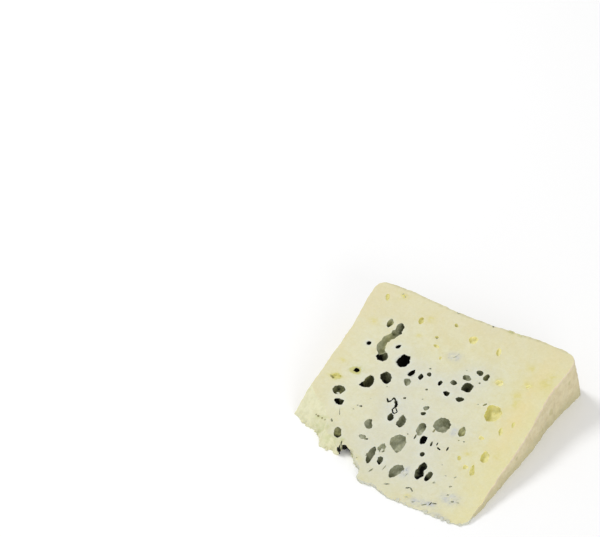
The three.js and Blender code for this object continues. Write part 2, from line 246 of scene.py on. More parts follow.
def slab():
    across = np.arange(SLAB_ACROSS[0], SLAB_ACROSS[1] + SLAB_STEP / 2, SLAB_STEP)
    out = np.arange(SLAB_OUT[0], SLAB_OUT[1] + SLAB_STEP / 2, SLAB_STEP)
    columns, rows = len(across), len(out)
    grid = np.array([(x, y, 0.0) for y in out for x in across])
    smear = ripple(grid / SMEAR_SIZE, 1, 3) * SMEAR_HEIGHT
    smear += bumps(grid, DIMPLES)
    top = grid.copy()
    top[:, 2] = upper_height(grid[:, 1]) + smear
    bottom = grid.copy()
    bottom[:, 2] = np.maximum(ripple(grid / SMEAR_SIZE, 1, 17), 0) * SMEAR_HEIGHT
    faces = []
    count = columns * rows
    for j in range(rows - 1):
        for i in range(columns - 1):
            a = j * columns + i
            b, c, d = a + 1, a + 1 + columns, a + columns
            faces.append((a, b, c, d))
            faces.append((count + d, count + c, count + b, count + a))
    edge = list(range(columns)) + [j * columns + columns - 1 for j in range(1, rows)]
    edge += [(rows - 1) * columns + i for i in range(columns - 2, -1, -1)]
    edge += [j * columns for j in range(rows - 2, 0, -1)]
    for a, b in zip(edge, edge[1:] + edge[:1]):
        faces.append((b, a, count + a, count + b))
    made = to_mesh("slab", np.concatenate([top, bottom]), faces, CUT)
    face_outwards(made)
    return made


wedge = slab()
print("slab:", len(wedge.data.polygons), "faces")

# %% [markdown]
# ## The wheel
# Seen from the rim, the wheel is a drum with rounded corners. Its section is drawn for many heights above
# the table, each a little further in than the one below, because the rim is round about the axle. The
# foot of the slice has slumped outwards under its own weight, most at the left end of the thin tip. The
# rind is uneven from the hand-turned mould and the drying, with a fine grain on top, so noise of four
# sizes moves its points. A turned cylinder would be less work, but its rind would be flat and its corners
# alike.

# %% The outline of the drum
FLAT_STEP = 0.7
CORNER_STEPS = 9
SECTION_START = -3
LEVEL_STEP = 0.55
LEVELS = (-1.65, 24.0)
RIND_RELIEF = [(11, 0.4, 9), (3.6, 0.34, 31), (1.5, 0.26, 47), (0.75, 0.14, 53)]


def swelling(swells, out):
    return sum(height * np.exp(-(((out - centre) / reach) ** 2)) for centre, reach, height in swells)


def left_rind(out):
    return RIND_LEFT - swelling(LEFT_SWELLS, out)


def right_rind(out):
    return RIND_RIGHT + swelling(RIGHT_SWELLS, out)


def rim_radius(across):
    middle = (RIND_LEFT + RIND_RIGHT) / 2
    taper = RIM_TAPER * (middle - across) / (RIND_RIGHT - RIND_LEFT)
    return RIM_RADIUS + taper + RIM_WAVE * np.cos(2 * np.pi * (across - RIM_WAVE_CREST) / RIM_WAVE_LENGTH)


def section(height):
    """The loop of the wheel's outline at a height above the axle."""
    left_end = rim_radius(RIND_LEFT) - CORNER_RADIUS
    right_end = rim_radius(RIND_RIGHT) - CORNER_RADIUS
    left_corner = left_rind(left_end) + CORNER_RADIUS
    right_corner = right_rind(right_end) - CORNER_RADIUS
    flat_count = math.ceil(left_end / FLAT_STEP)
    rim_count = math.ceil((right_corner - left_corner) / FLAT_STEP)
    turn = np.pi / 2 * np.arange(1, CORNER_STEPS) / CORNER_STEPS
    up = np.linspace(SECTION_START, math.sqrt(left_end ** 2 - height ** 2), flat_count)
    left = np.stack([left_rind(np.hypot(up, height)), up], 1)
    radius = left_end + CORNER_RADIUS * np.sin(turn)
    first = np.stack([left_corner - CORNER_RADIUS * np.cos(turn), np.sqrt(radius ** 2 - height ** 2)], 1)
    across = np.linspace(left_corner, right_corner, rim_count)
    rim = np.stack([across, np.sqrt(rim_radius(across) ** 2 - height ** 2)], 1)
    radius = right_end + CORNER_RADIUS * np.cos(turn)
    second = np.stack([right_corner + CORNER_RADIUS * np.sin(turn), np.sqrt(radius ** 2 - height ** 2)], 1)
    down = np.linspace(math.sqrt(right_end ** 2 - height ** 2), SECTION_START, flat_count)
    right = np.stack([right_rind(np.hypot(down, height)), down], 1)
    loop = np.concatenate([left, first, rim, second, right])
    return np.column_stack([loop, np.full(len(loop), height)])


print("the outline has", len(section(0)), "points at the table")


# %% The drum, slumped and uneven
def slump(points):
    """Pushes the foot outwards, and the left end of the thin tip most of all."""
    middle = (RIND_LEFT + RIND_RIGHT) / 2
    low = 1 - np.clip(points[:, 2] / SLUMP_HEIGHT, 0, 1)
    share = (points[:, 0] - RIND_LEFT) / (RIND_RIGHT - RIND_LEFT)
    rim_slump = RIM_SLUMP_LEFT + (RIM_SLUMP_RIGHT - RIM_SLUMP_LEFT) * share
    moved = points.copy()
    tip_share = 1 - smooth(*TIP_SPREAD_OUT, points[:, 1])
    aside = points[:, 0] / middle - 1
    moved[:, 0] += low * (SIDE_SLUMP * aside - TIP_SPREAD * tip_share * np.maximum(-aside, 0))
    moved[:, 1] += rim_slump * low * points[:, 1] / RIM_RADIUS
    return moved


def wheel():
    levels = np.arange(LEVELS[0], LEVELS[1], LEVEL_STEP)
    made = stack("wheel", [slump(section(level)) for level in levels], RIND)
    points, normals = points_of(made.data), normals_of(made.data)
    normals[:, 2] = 0
    put_points(made.data, points + normals * bumps(points, RIND_RELIEF)[:, None])
    return made


drum = wheel()
print("wheel:", len(drum.data.polygons), "faces")
wedge = combine(wedge, [drum], "INTERSECT")
print("slice of the wheel:", len(wedge.data.polygons), "faces")

# %% [markdown]
# ## The broken tip
# Towards the axle the slice gets too thin to hold together. On the left it has snapped off along a slope
# that gets steeper upwards, a notch beside it has a wall that hangs over a little, and on the right only
# the last crumbs are gone. The line where it broke is a smooth curve through a few given places. A
# wall stands on this line and leans as the rows below say: a place across and how far the wall goes back
# for each millimetre up. Cell noise covers it with grains: the distance to the nearest cell middle gives
# rounded grains with creases between them. They are plainest at the foot, because the slope above it was
# pressed smooth. Smooth noise alone would give soft waves there instead of crumbs.

# %% The line of the break
TIP_LINE = [
    (-5, 30), (-1.6, 27.4), (2.4, 25.2), (6, 23.3), (10, 22.2), (14.4, 18.8), (16, 15.6), (19.2, 14.3),
    (22, 14.9), (25.2, 14.1), (25, 17), (26.1, 18.6), (27.8, 19.1), (31.4, 15.2), (35, 11.3), (37.9, 8.8),
    (38.6, 6.5), (39.3, 4.6), (41.9, 3.6), (46.2, 4.4), (49.3, 2.9), (54.6, 1.2), (59, 1), (68.5, 0.4),
    (76, 0.1), (82.6, -0.3), (86.2, 0.5), (88.6, 3.6), (89.4, 8), (95, 12),
]
TIP_STEP = 0.4
CURVE_PARTS = 24


def curve_through(places, step):
    """Points at even distances on a smooth curve through the places."""
    known = np.array(places, float)
    known = np.concatenate([[2 * known[0] - known[1]], known, [2 * known[-1] - known[-2]]])
    fine = []
    for a, b, c, d in zip(known, known[1:], known[2:], known[3:]):
        for t in np.linspace(0, 1, CURVE_PARTS, endpoint=False):
            fine.append(0.5 * (2 * b + (c - a) * t + (2 * a - 5 * b + 4 * c - d) * t ** 2
                               + (3 * b - a - 3 * c + d) * t ** 3))
    fine.append(known[-2])
    fine = np.array(fine)
    length = np.concatenate([[0], np.cumsum(np.linalg.norm(np.diff(fine, axis=0), axis=1))])
    places = np.linspace(0, length[-1], max(2, round(length[-1] / step)))
    return np.stack([np.interp(places, length, fine[:, k]) for k in range(fine.shape[1])], 1)


tip_line = curve_through(TIP_LINE, TIP_STEP)
print("the break is", round(len(tip_line) * TIP_STEP), "mm long")

# %% The crumbling wall
TIP_HEIGHT = 13.0
TIP_LEVEL_STEP = 0.4
TIP_FAR = -30
TIP_MARGIN = 20
TIP_BELOW = 1.2
TIP_LEANS = [(19, 0.55), (25.2, 0.1), (26, -0.65), (28.5, -0.65), (31, 0.1)]
TIP_CURVES = [(19, 0.09), (25.2, 0)]
GRAINS = [(2.4, 1, 5), (1.1, 0.55, 11), (0.6, 0.2, 19)]
TIP_WAVES = [(5.5, 0.6, 41)]
SLOPE_CALM = 0.12
CALM_LEVELS = (0.8, 2.4)


def broken_tip():
    """A block whose one side is the wall of the break, to be taken away from the slice."""
    left, right = tip_line[0, 0] - TIP_MARGIN, tip_line[-1, 0] + TIP_MARGIN
    corners = np.array([
        (right, tip_line[-1, 1]), (right, TIP_FAR), (left, TIP_FAR), (left, tip_line[0, 1])])
    loop = np.concatenate([tip_line, corners])
    wall = np.arange(len(loop)) < len(tip_line)
    lean = np.interp(loop[:, 0], *zip(*TIP_LEANS))
    curve = np.interp(loop[:, 0], *zip(*TIP_CURVES))
    rings = []
    for level in np.arange(-TIP_BELOW, TIP_HEIGHT, TIP_LEVEL_STEP):
        ring = np.column_stack([loop, np.full(len(loop), level)])
        height = max(level, 0)
        ring[:, 1] += np.where(wall, lean * height + curve * height ** 2, 0)
        rings.append(ring)
    far = np.array([45.0, TIP_FAR + 2, 0])
    made = stack("tip", rings, BROKEN, first_tip=far - (0, 0, TIP_BELOW), last_tip=far + (0, 0, TIP_HEIGHT))
    points, normals = points_of(made.data), normals_of(made.data)
    near = points[:, 1] > TIP_FAR + 4
    relief = sum(depth * (crumble(points, size, channel) - 0.5) for size, depth, channel in GRAINS)
    relief += bumps(points, TIP_WAVES)
    relief *= 1 - (1 - SLOPE_CALM) * smooth(*CALM_LEVELS, points[:, 2])
    put_points(made.data, points + normals * (relief * near)[:, None])
    return made


wedge = combine(wedge, [broken_tip()], "DIFFERENCE")
print("with the broken tip:", len(wedge.data.polygons), "faces")

# %% [markdown]
# ## Crumbs
# Crumbs that are nearly loose hang on to the foot of the break. Each is a small lump, a sphere that noise
# has made uneven, and it is joined to the slice so that the wedge stays one thing.

# %% Lumps and crumbs
CRUMBS = 34
CRUMB_SIZE = (0.22, 0.75)
CRUMB_SHAPE = np.array([1.3, 1, 0.8])
CRUMB_STRETCH = (0.06, 0.88)
CRUMB_GRIP = 0.55
CRUMB_ROUGHNESS = 0.5
SMALL_CRUMBS = 1.6
LUMP_LENGTH = 0.7
LUMP_DETAIL = 3


def lump(half_sizes, roughness, character):
    """Points and faces of an uneven ball."""
    work = bmesh.new()
    bmesh.ops.create_icosphere(work, subdivisions=LUMP_DETAIL, radius=1)
    points = np.array([v.co for v in work.verts])
    faces = [tuple(v.index for v in f.verts) for f in work.faces]
    work.free()
    points *= (1 + roughness * ripple(points, LUMP_LENGTH, character))[:, None]
    return points * half_sizes, faces


def crumbs():
    draw = random.Random(23)
    made = []
    for number in range(CRUMBS):
        share = between(CRUMB_STRETCH, (number + draw.random()) / CRUMBS)
        place = tip_line[int(share * (len(tip_line) - 1))]
        size = between(CRUMB_SIZE, draw.random() ** SMALL_CRUMBS)
        points, faces = lump(size * CRUMB_SHAPE, CRUMB_ROUGHNESS, number * 2.3)
        turn = math.pi * draw.random()
        turned = points.copy()
        turned[:, 0] = points[:, 0] * math.cos(turn) - points[:, 1] * math.sin(turn)
        turned[:, 1] = points[:, 0] * math.sin(turn) + points[:, 1] * math.cos(turn)
        turned += (place[0], place[1] + size * CRUMB_GRIP, -turned[:, 2].min())
        made.append(to_mesh("crumb", turned, faces, BROKEN))
    return made


wedge = combine(wedge, crumbs(), "UNION")
print("with", CRUMBS, "crumbs:", len(wedge.data.polygons), "faces")

# %% [markdown]
# ## The holes
# The curd was never pressed, so gaps of every size stayed between its grains. Where air came in along the
# needle channels, blue mould lines them; elsewhere they are bare, yellow and shiny. Each row below is one
# hole of the upper cut face, read off the real slice: across, out, longest and shortest width, the turn
# of the longest one from the across direction, how dark it is inside (0 pale, 1 black), which is partly
# the lining's own colour and partly painted shade, and the side, as a turn, where it is undercut and the
# painted shade is darkest. The last group, where there is one, gives the outline: eight radii at even
# turns from the longest width on, against a plain ellipse. The rest get theirs from a seeded draw. Holes
# that are only painted on would look right from one side, so each one is really cut out.

# %% The parts of a row
class Hole(NamedTuple):
    across: float
    out: float
    longest: float
    shortest: float
    turn: float
    dark: float
    shaded_side: float
    radii: tuple = None


# %% Deep holes
DEEP_HOLES = [
    (18.7, 79.5, 5.4, 3.2, 110, 0.24, 23, (1.2, 1.1, 1, 0.8, 0.7, 0.9, 1, 1.2)),
    (19.1, 63.7, 5.4, 5, 115, 0.5, 203, (0.8, 0.7, 1.1, 1.05, 1.05, 0.95, 0.9, 0.9)),
    (27.6, 64.5, 6.8, 5.8, 105, 1, 0, (1.05, 0.7, 0.8, 0.85, 0.9, 1.1, 1.1, 1.25)),
    (10.6, 67.5, 2.7, 2, 90, 1, 0, (1, 0.9, 0.9, 0.7, 0.7, 1, 1, 1.1)),
    (22.6, 70.5, 2.8, 1.6, 65, 1, 0, (1.2, 1.1, 1.2, 1.1, 0.7, 0.7, 0.8, 0.8)),
    (12.9, 53, 2.9, 2.5, 130, 0.8, 118, (0.9, 0.75, 1, 0.75, 0.9, 1.1, 0.8, 0.75)),
    (19.6, 49, 9, 5.4, 95, 0.74, 258, (0.9, 0.5, 0.45, 1, 0.6, 1, 1.1, 1.1)),
    (25.9, 54, 7, 5.2, 120, 0.38, 203, (1, 1, 0.9, 0.8, 0.9, 0.9, 0.9, 0.9)),
    (34.1, 60, 3.8, 2.6, 80, 1, 0, (1.4, 1, 1, 1.1, 0.7, 0.7, 0.6, 0.8)),
    (38.1, 60.5, 3.4, 2.3, 105, 0.8, 258, (0.8, 0.7, 0.8, 0.9, 1.1, 1, 1, 0.9)),
    (40.9, 62.7, 2.5, 1.8, 100, 0.5, 23, (1, 1.2, 1.2, 1, 0.8, 0.9, 0.8, 0.9)),
    (14.1, 35.6, 5, 3.8, 170, 0.9, 203, (0.9, 0.7, 0.8, 0.9, 0.9, 1.1, 0.7, 0.7)),
    (46.8, 60.7, 3, 2.4, 100, 0.6, 203, (0.8, 0.6, 0.7, 0.8, 1.1, 0.8, 0.8, 0.8)),
    (51.4, 62.8, 3.4, 3, 150, 0.22, 23, (0.7, 0.8, 0.6, 0.8, 1, 1, 0.9, 0.9)),
    (57.7, 62.5, 5.6, 4.6, 90, 0.2, 154, (1, 1, 0.9, 0.9, 0.7, 1, 1, 1.2)),
    (51.4, 56.7, 3.3, 2.8, 125, 0.85, 203, (0.8, 0.85, 0.7, 0.7, 0.95, 1.1, 1.2, 0.9)),
    (57.8, 55.8, 3.7, 2.7, 40, 0.28, 118, (1.1, 1, 1.1, 1.1, 0.6, 0.7, 0.9, 0.8)),
    (58.9, 71.5, 3.5, 2.8, 135, 0.2, 154, (0.9, 0.9, 0.8, 0.7, 0.9, 1, 1.1, 1)),
    (62.6, 70.3, 3.9, 2.6, 100, 0.16, 78, (1.1, 0.9, 1, 1.1, 0.8, 0.8, 0.8, 1.1)),
    (47.8, 43.9, 2.6, 2, 55, 0.58, 258, (0.7, 0.6, 0.8, 0.8, 0.7, 1, 1.3, 1.2)),
    (37, 36.5, 5, 3.3, 110, 0.75, 258, (1, 0.8, 0.7, 0.7, 0.7, 0.7, 0.9, 0.9)),
    (41.9, 36.5, 6.4, 4, 105, 0.24, 258, (1.05, 0.85, 0.85, 1, 0.9, 0.9, 0.9, 1)),
    (53.9, 31.7, 4.8, 3.5, 105, 0.8, 118, (1, 0.7, 0.65, 0.8, 0.9, 1, 0.9, 1.15)),
    (57.1, 25.2, 2.6, 2, 75, 0.75, 258),
    (38.9, 16.9, 9.2, 3.9, 97, 0.2, 258, (0.95, 0.9, 0.9, 0.85, 0.95, 0.6, 0.7, 0.7)),
    (43.3, 16.1, 5.3, 2.4, 108, 0.45, 258, (0.7, 1, 0.9, 0.9, 1, 0.9, 1, 0.9)),
    (51.7, 13.7, 7.8, 5.3, 80, 0.2, 258, (0.95, 0.95, 0.85, 1, 1, 0.7, 0.8, 1)),
    (60.1, 17.6, 9, 3.7, 95, 0.62, 330, (1, 0.75, 0.85, 0.95, 0.95, 1.3, 1.3, 1.3)),
    (64.4, 17.3, 5.6, 3, 85, 0.45, 258, (0.6, 0.8, 0.8, 0.9, 1.3, 1, 0.8, 0.9)),
]
print(len(DEEP_HOLES), "deep holes")

# %% Open holes
OPEN_HOLES = [
    (13.4, 80.5, 5.2, 3.3, 100, 0.22, 258, (1, 0.5, 0.6, 0.7, 1, 0.8, 1, 1)),
    (34.4, 55.8, 4.7, 3, 110, 0.15, 203, (0.7, 0.9, 0.7, 0.8, 0.9, 1.1, 1.1, 0.8)),
    (11.4, 40.7, 5, 4.6, 10, 0.62, 298, (1, 1.2, 1.1, 1.2, 1, 1, 0.9, 0.9)),
    (55.2, 67.1, 3.9, 3.4, 0, 0.3, 203, (1.1, 0.9, 1, 1, 0.9, 0.7, 0.7, 1)),
    (47.8, 46.7, 2.5, 2.3, 0, 0.25, 334, (0.9, 1.1, 1, 1, 1, 1, 1.1, 0.9)),
    (30.5, 29.8, 4.7, 4, 130, 0.2, 23, (1, 0.8, 0.7, 0.8, 1.1, 1, 0.8, 1.4)),
    (21.3, 21.3, 5.9, 3.6, 115, 0.45, 298, (1, 0.8, 0.9, 0.8, 0.9, 1, 0.9, 0.9)),
    (51, 36.5, 6.7, 4, 100, 0.15, 78, (0.9, 1, 1, 1, 1.1, 0.7, 0.8, 0.9)),
    (57.5, 41.5, 8.4, 7.2, 120, 0.15, 78, (0.95, 0.85, 1, 0.9, 1, 0.9, 0.95, 1)),
    (66.1, 41.7, 4.8, 3, 100, 0.18, 258, (1.1, 0.9, 0.9, 1, 1.1, 1.1, 1, 1)),
    (45.7, 26.3, 9.5, 6.9, 115, 0.1, 118, (0.92, 0.95, 0.92, 0.8, 1, 0.85, 1, 1.1)),
    (41.3, 21.5, 4.9, 3.5, 95, 0, 78), (31.4, 23.5, 2.6, 2.3, 0, 0.12, 334),
]
print(len(OPEN_HOLES), "open holes")

# %% Bare pits
PALE_PITS = [
    (6, 92.9, 4.4, 1.7, 115, 0.9, 203), (79.9, 73.1, 2.2, 1.6, 60, 0, 203),
    (41, 72.1, 1.6, 1.1, 115, 0.6, 203),
    (24.6, 86.9, 4, 2.3, 110, 0.9, 203, (0.9, 0.8, 0.8, 1, 1, 0.9, 0.8, 0.9)),
    (38.9, 90.3, 2.4, 1.2, 145, 1.4, 203), (34.5, 81.5, 2.1, 1.3, 0, 1.2, 334),
    (36.7, 77.1, 3.1, 1.9, 165, 0.4, 203, (1, 0.7, 0.8, 0.8, 0.9, 0.9, 0.8, 0.9)),
    (48.5, 85.7, 3.9, 3.4, 125, 0.3, 203, (1, 0.9, 0.8, 0.8, 1, 1.1, 1.4, 1.3)),
    (60.9, 84.5, 4.6, 1.8, 110, 0.4, 203, (0.9, 0.9, 1.1, 0.9, 1, 1.1, 1.1, 1.2)),
    (6.9, 46.8, 5, 2.8, 20, 1, 203, (0.9, 0.8, 1.1, 1, 0.8, 1.1, 0.6, 0.6)),
    (72.9, 54.9, 7.6, 7, 130, 0.55, 203, (1.1, 0.8, 0.95, 1.25, 1.05, 1, 1.1, 1.2)),
    (80.1, 47.8, 4.6, 1.6, 105, 0.5, 203), (74.6, 42, 2.4, 2, 0, 0.1, 203),
    (80.4, 33.5, 5.9, 3.2, 110, 0.5, 203, (1.1, 1.1, 1, 1, 0.8, 0.9, 1, 1.1)),
    (78.7, 25.5, 5.3, 2.2, 105, 0.7, 23, (1.3, 0.8, 0.8, 0.8, 0.8, 1, 1, 0.8)),
    (71.3, 29.5, 2.4, 1.6, 110, 0.9, 203), (75.4, 26.5, 2.4, 2.2, 0, 0.2, 203),
    (68.5, 70.1, 3.2, 2.5, 0, 0.1, 203), (11.6, 96, 2.6, 1, 150, 0.7, 23),
    (83, 53.2, 3, 1.2, 100, 0.9, 203),
]
print(len(PALE_PITS), "bare pits")

# %% Cracks, specks and channels
CRACKS = [
    (17.4, 30.5, 6.5, 0.28, 117, 0.3, 0), (58, 31.4, 2.6, 0.8, 100, 0.7, 0),
    (60.1, 32.4, 2, 0.6, 95, 0.7, 0), (61.7, 30.4, 2.6, 0.8, 160, 0.9, 0),
    (64.9, 31.8, 2.3, 0.8, 95, 0.7, 0), (46.6, 13.2, 2.6, 0.5, 85, 0, 0), (42.4, 10, 2.4, 0.7, 70, 0.1, 0),
    (51.3, 6.5, 3, 0.6, 25, 0.15, 0), (59.6, 8.2, 2, 0.7, 30, 0.3, 0), (61.4, 8, 2.8, 0.6, 140, 0.25, 0),
    (69.2, 3.5, 2.8, 0.5, 40, 0.1, 0), (71.2, 4.7, 2.2, 0.6, 80, 0.35, 0),
    (72.6, 5.6, 2.2, 0.6, 10, 0.2, 0), (68.2, 57.8, 2.2, 0.8, 55, 0.1, 0),
    (50.5, 31.9, 3.4, 0.8, 95, 0.3, 0), (56.2, 13.6, 2.4, 0.3, 80, 0, 0), (46, 75, 3, 0.3, 60, 0.05, 0),
]
SPECKS = [
    (37.4, 47.8, 1.3, 1, 30, 0.8, 0), (23.4, 37, 1.3, 1, 0, 0.8, 0), (43.4, 55.3, 1, 0.9, 0, 0.5, 0),
    (16.3, 25.9, 1.7, 0.7, 130, 0.5, 0), (74.5, 15.5, 1.4, 0.8, 45, 0.2, 0),
    (22, 36.9, 0.8, 0.6, 0, 0.3, 0), (21.4, 34.6, 0.7, 0.6, 0, 0.2, 0), (5.4, 29.6, 0.6, 0.5, 0, 0.1, 0),
    (39.8, 65.6, 0.9, 0.8, 0, 0.7, 0), (44.3, 50.2, 0.7, 0.6, 0, 0.3, 0), (53.6, 70.7, 0.7, 0.6, 0, 0.3, 0),
    (61.2, 66.8, 1, 0.8, 0, 0.5, 0), (28.3, 50.2, 0.7, 0.6, 0, 0.2, 0), (47.2, 32, 0.8, 0.6, 0, 0.5, 0),
    (61.2, 4, 1.4, 0.5, 20, 0.1, 0), (64.6, 2.9, 1, 0.7, 0, 0.4, 0), (67.7, 14.7, 1.3, 0.9, 60, 0.2, 0),
    (66.6, 23.8, 0.7, 0.5, 0, 0.1, 0), (70.4, 19.5, 0.7, 0.5, 0, 0.1, 0),
    (74.1, 20.3, 1.1, 0.6, 60, 0.15, 0), (75.4, 11.5, 0.9, 0.6, 0, 0.4, 0),
    (78.5, 9.2, 1.2, 0.7, 20, 0.5, 0), (80.7, 9.6, 1.2, 0.5, 10, 0.3, 0),
    (33.3, 23.1, 1.6, 1.1, 20, 0.8, 0), (34.3, 13.3, 0.7, 0.5, 0, 0.1, 0),
    (69.1, 37.5, 0.7, 0.6, 0, 0.3, 0), (67, 37.3, 0.6, 0.5, 0, 0.1, 0), (65.7, 56.8, 0.7, 0.5, 0, 0.1, 0),
    (52.9, 95.9, 1, 0.9, 0, 0.9, 0), (36.7, 96.6, 0.9, 0.7, 0, 0.4, 0), (25.2, 42, 0.5, 0.5, 0, 0.1, 0),
    (37.2, 15.6, 0.6, 0.5, 0, 0.1, 0), (11, 96.6, 1.2, 0.5, 60, 0.3, 0), (12.6, 95.8, 1, 0.5, 110, 0.4, 0),
    (34.9, 80.8, 0.7, 0.5, 0, 0.2, 0), (39.3, 89.8, 0.7, 0.5, 0, 0.1, 0),
]
CHANNELS = [
    ([(18.7, 78.5), (18.1, 75.5), (16.3, 71.9), (16.1, 68.8), (17, 66.4), (19.2, 63.8)], 3.4, 0.17),
]
CHANNEL_SINK = 0.12
JAGGED_LINE = [
    (31.1, 45, 0.9), (32.4, 43.3, 0.8), (33.3, 44.6, 0.7), (33.6, 46.2, 0.8), (34.7, 45.3, 1.5),
    (35.8, 44, 1.3), (36.3, 42.4, 0.8), (35.7, 40.8, 0.7), (36.3, 39.7, 0.8), (37.4, 38.9, 0.7),
    (38.1, 40.4, 0.6), (36.6, 41.9, 0.6),
]
JAGGED_OVERLAP = 1.35
JAGGED_DARK = 0.95
print(len(CRACKS), "cracks,", len(SPECKS), "specks,", len(CHANNELS), "channel")

# %% [markdown]
# A hole is again a stack of rings, laid into the face. Curd grains leave gaps with corners, so the
# outline runs mostly straight from one of the eight points to the next, and noise nibbles its edge. Going
# down, the rings follow a rounded box shape, so the walls are steep and the floor is round. They slide
# towards the dark side, which makes an undercut wall there and a sloping, lit one opposite. Above the
# face the rings flare a little, which breaks the sharp rim.

# %% Kinds and details of holes
KINDS = {
    "deep": dict(depth=0.66, undercut=0.3, lean=0.34, square=2.6),
    "open": dict(depth=0.36, undercut=0.06, lean=0.1, square=3.2),
    "pale": dict(depth=0.34, undercut=0.04, lean=0.12, square=3.0),
    "crack": dict(depth=0.8, undercut=0.1, lean=0, square=2.2),
}
DEEPEST_SHARE = 0.7
HOLE_STEP = 0.34
STEPS_AROUND = (14, 76)
STEPS_DOWN = (5, 22)
RIM_HEIGHT = 0.02
RIM_FLARE = 0.07
LID_HEIGHT = 0.6
LID_FLARE = 0.25
RIM_DROP = 0.12
CHORD_SHARE = 0.65
EDGE_NIBBLES = [(1.5, 0.36, 5), (0.7, 0.24, 5)]
NIBBLED_WIDTH = 3.5
DRAWN_RADII = (0.78, 1.18)
LUMPINESS = 0.13
LUMP_SHARE = 0.55
LARGEST_LUMPS = 5
BUMPS_FROM = (0.1, -0.5)
MOULD_BUMPS = [(1.6, 0.2, 71), (0.8, 0.14, 73)]
print("kinds of holes:", ", ".join(KINDS))


# %% The outline of a hole
def thickness_at(out):
    return TIP_THICKNESS + out * RISE


def outline_radius(hole, turns, character):
    """Distance of a hole's edge from its middle, in each direction."""
    half_long, half_short = hole.longest / 2, hole.shortest / 2
    ellipse = half_long * half_short / np.hypot(half_short * np.cos(turns), half_long * np.sin(turns))
    radii = hole.radii
    if radii is None:
        draw = random.Random(round(character * 1000))
        radii = [between(DRAWN_RADII, draw.random()) for _ in range(8)]
    around = np.append(radii, radii[0])
    place = (turns % (2 * np.pi)) / (np.pi / 4)
    low = np.floor(place).astype(int) % 8
    share = place - np.floor(place)
    first, second = around[low], around[low + 1]
    chord = first * second * math.sin(np.pi / 4)
    chord = chord / (first * np.sin(np.pi / 4 * share) + second * np.sin(np.pi / 4 * (1 - share)))
    eased = smooth(0, 1, share)
    edge = ellipse * (CHORD_SHARE * chord + (1 - CHORD_SHARE) * (first * (1 - eased) + second * eased))
    on_edge = np.column_stack([edge * np.cos(turns), edge * np.sin(turns), np.full(len(turns), character)])
    return edge + min(1, hole.shortest / NIBBLED_WIDTH) * bumps(on_edge, EDGE_NIBBLES)


# %% The rings of a hole
def hole_rings(hole, kind, room, character):
    """The rings of a hole in its own flat frame, from above the face down, and the point of its floor."""
    depth = min(kind["depth"] * (1 + kind["undercut"]) * hole.shortest, DEEPEST_SHARE * room)
    around = int(np.clip(math.pi * (hole.longest + hole.shortest) / 2 / HOLE_STEP, *STEPS_AROUND))
    downward = int(np.clip((depth + hole.shortest / 2) / HOLE_STEP, *STEPS_DOWN))
    turns = np.linspace(0, 2 * np.pi, around, endpoint=False)
    radius = outline_radius(hole, turns, character)
    tilt = math.radians(hole.turn)
    cos_turns, sin_turns = np.cos(turns + tilt), np.sin(turns + tilt)
    shaded_side = math.radians(hole.shaded_side)
    slide = kind["lean"] * hole.shortest / 2 if hole.dark < 1 else 0
    rings = []

    def ring(level, share, grow, slid):
        reach = radius * share + grow
        x = reach * cos_turns + slid * math.cos(shaded_side)
        y = reach * sin_turns + slid * math.sin(shaded_side)
        rings.append(np.column_stack([x, y, np.full(around, level)]))

    ring(LID_HEIGHT, 1, RIM_FLARE + LID_FLARE, 0)
    ring(RIM_HEIGHT, 1, RIM_FLARE, 0)
    ring(-min(RIM_DROP, depth / 3), 1, 0, 0)
    for step in range(1, downward):
        angle = np.pi / 2 * step / downward
        sunk = math.sin(angle) ** (2 / kind["square"])
        share = math.cos(angle) ** (2 / kind["square"]) * (1 + kind["undercut"] * math.sin(np.pi * sunk))
        ring(-max(sunk * depth, RIM_DROP), share, 0, slide * sunk)
    bottom = np.array([slide * math.cos(shaded_side), slide * math.sin(shaded_side), -depth])
    return rings, bottom


# %% Cutters for the holes
FACE_ACROSS = np.array([1, 0, 0])
FACE_OUT = np.array([0, RUN, RISE])
FACE_UP = np.array([0, -RISE, RUN])


def lay_on_face(points, across, out):
    origin = np.array([0, 0, TIP_THICKNESS])
    flat = points + (across, out, 0)
    return origin + flat[:, :1] * FACE_ACROSS + flat[:, 1:2] * FACE_OUT + flat[:, 2:] * FACE_UP


def lay_under(points, across, out):
    return points * (1, -1, -1) + (across, out, 0)


holes = []


def cutter(row, kind_name, surface, lay):
    """The closed mesh of one hole, laid into its face. The hole and its surface are written down."""
    hole = Hole(*row)
    character = hole.across * 3.1 + hole.out
    rings, bottom = hole_rings(hole, KINDS[kind_name], thickness_at(hole.out), character)
    middle = rings[0].mean(0)
    made = stack("hole", rings, surface, len(holes), first_tip=middle, last_tip=bottom)
    points, normals = points_of(made.data), normals_of(made.data)
    size = min(hole.shortest, LARGEST_LUMPS)
    relief = bumps(points, [(LUMP_SHARE * size, LUMPINESS * size, 0)], character)
    relief += bumps(points, MOULD_BUMPS, character)
    below = smooth(*BUMPS_FROM, points[:, 2])
    points = points + normals * (relief * below)[:, None]
    put_points(made.data, lay(points, hole.across, hole.out))
    face_outwards(made)
    holes.append((hole, surface))
    return made


cutters = []
for rows, kind, lining in (
        (DEEP_HOLES, "deep", LINED), (OPEN_HOLES, "open", LINED), (PALE_PITS, "pale", PIT),
        (CRACKS, "crack", LINED), (SPECKS, "open", LINED)):
    cutters += [cutter(row, kind, lining, lay_on_face) for row in rows]
print(len(cutters), "holes,", sum(len(c.data.polygons) for c in cutters), "faces")

# %% [markdown]
# A channel is a needle track that the mould has widened. A round section follows its curve, and its width
# changes a little on the way. The thin zigzag is a chain of cracks, each a little longer than its
# stretch, so that they join. A channel has no dark side: it counts as a very wide hole, which makes it
# evenly dark.

# %% Channels
CHANNEL_STEP = 0.45
WIDENING = 0.45
WIDENING_LENGTH = 1.7
SHIFT = 0.35
SHIFT_LENGTH = 1.1
CHANNEL_SPAN = 40


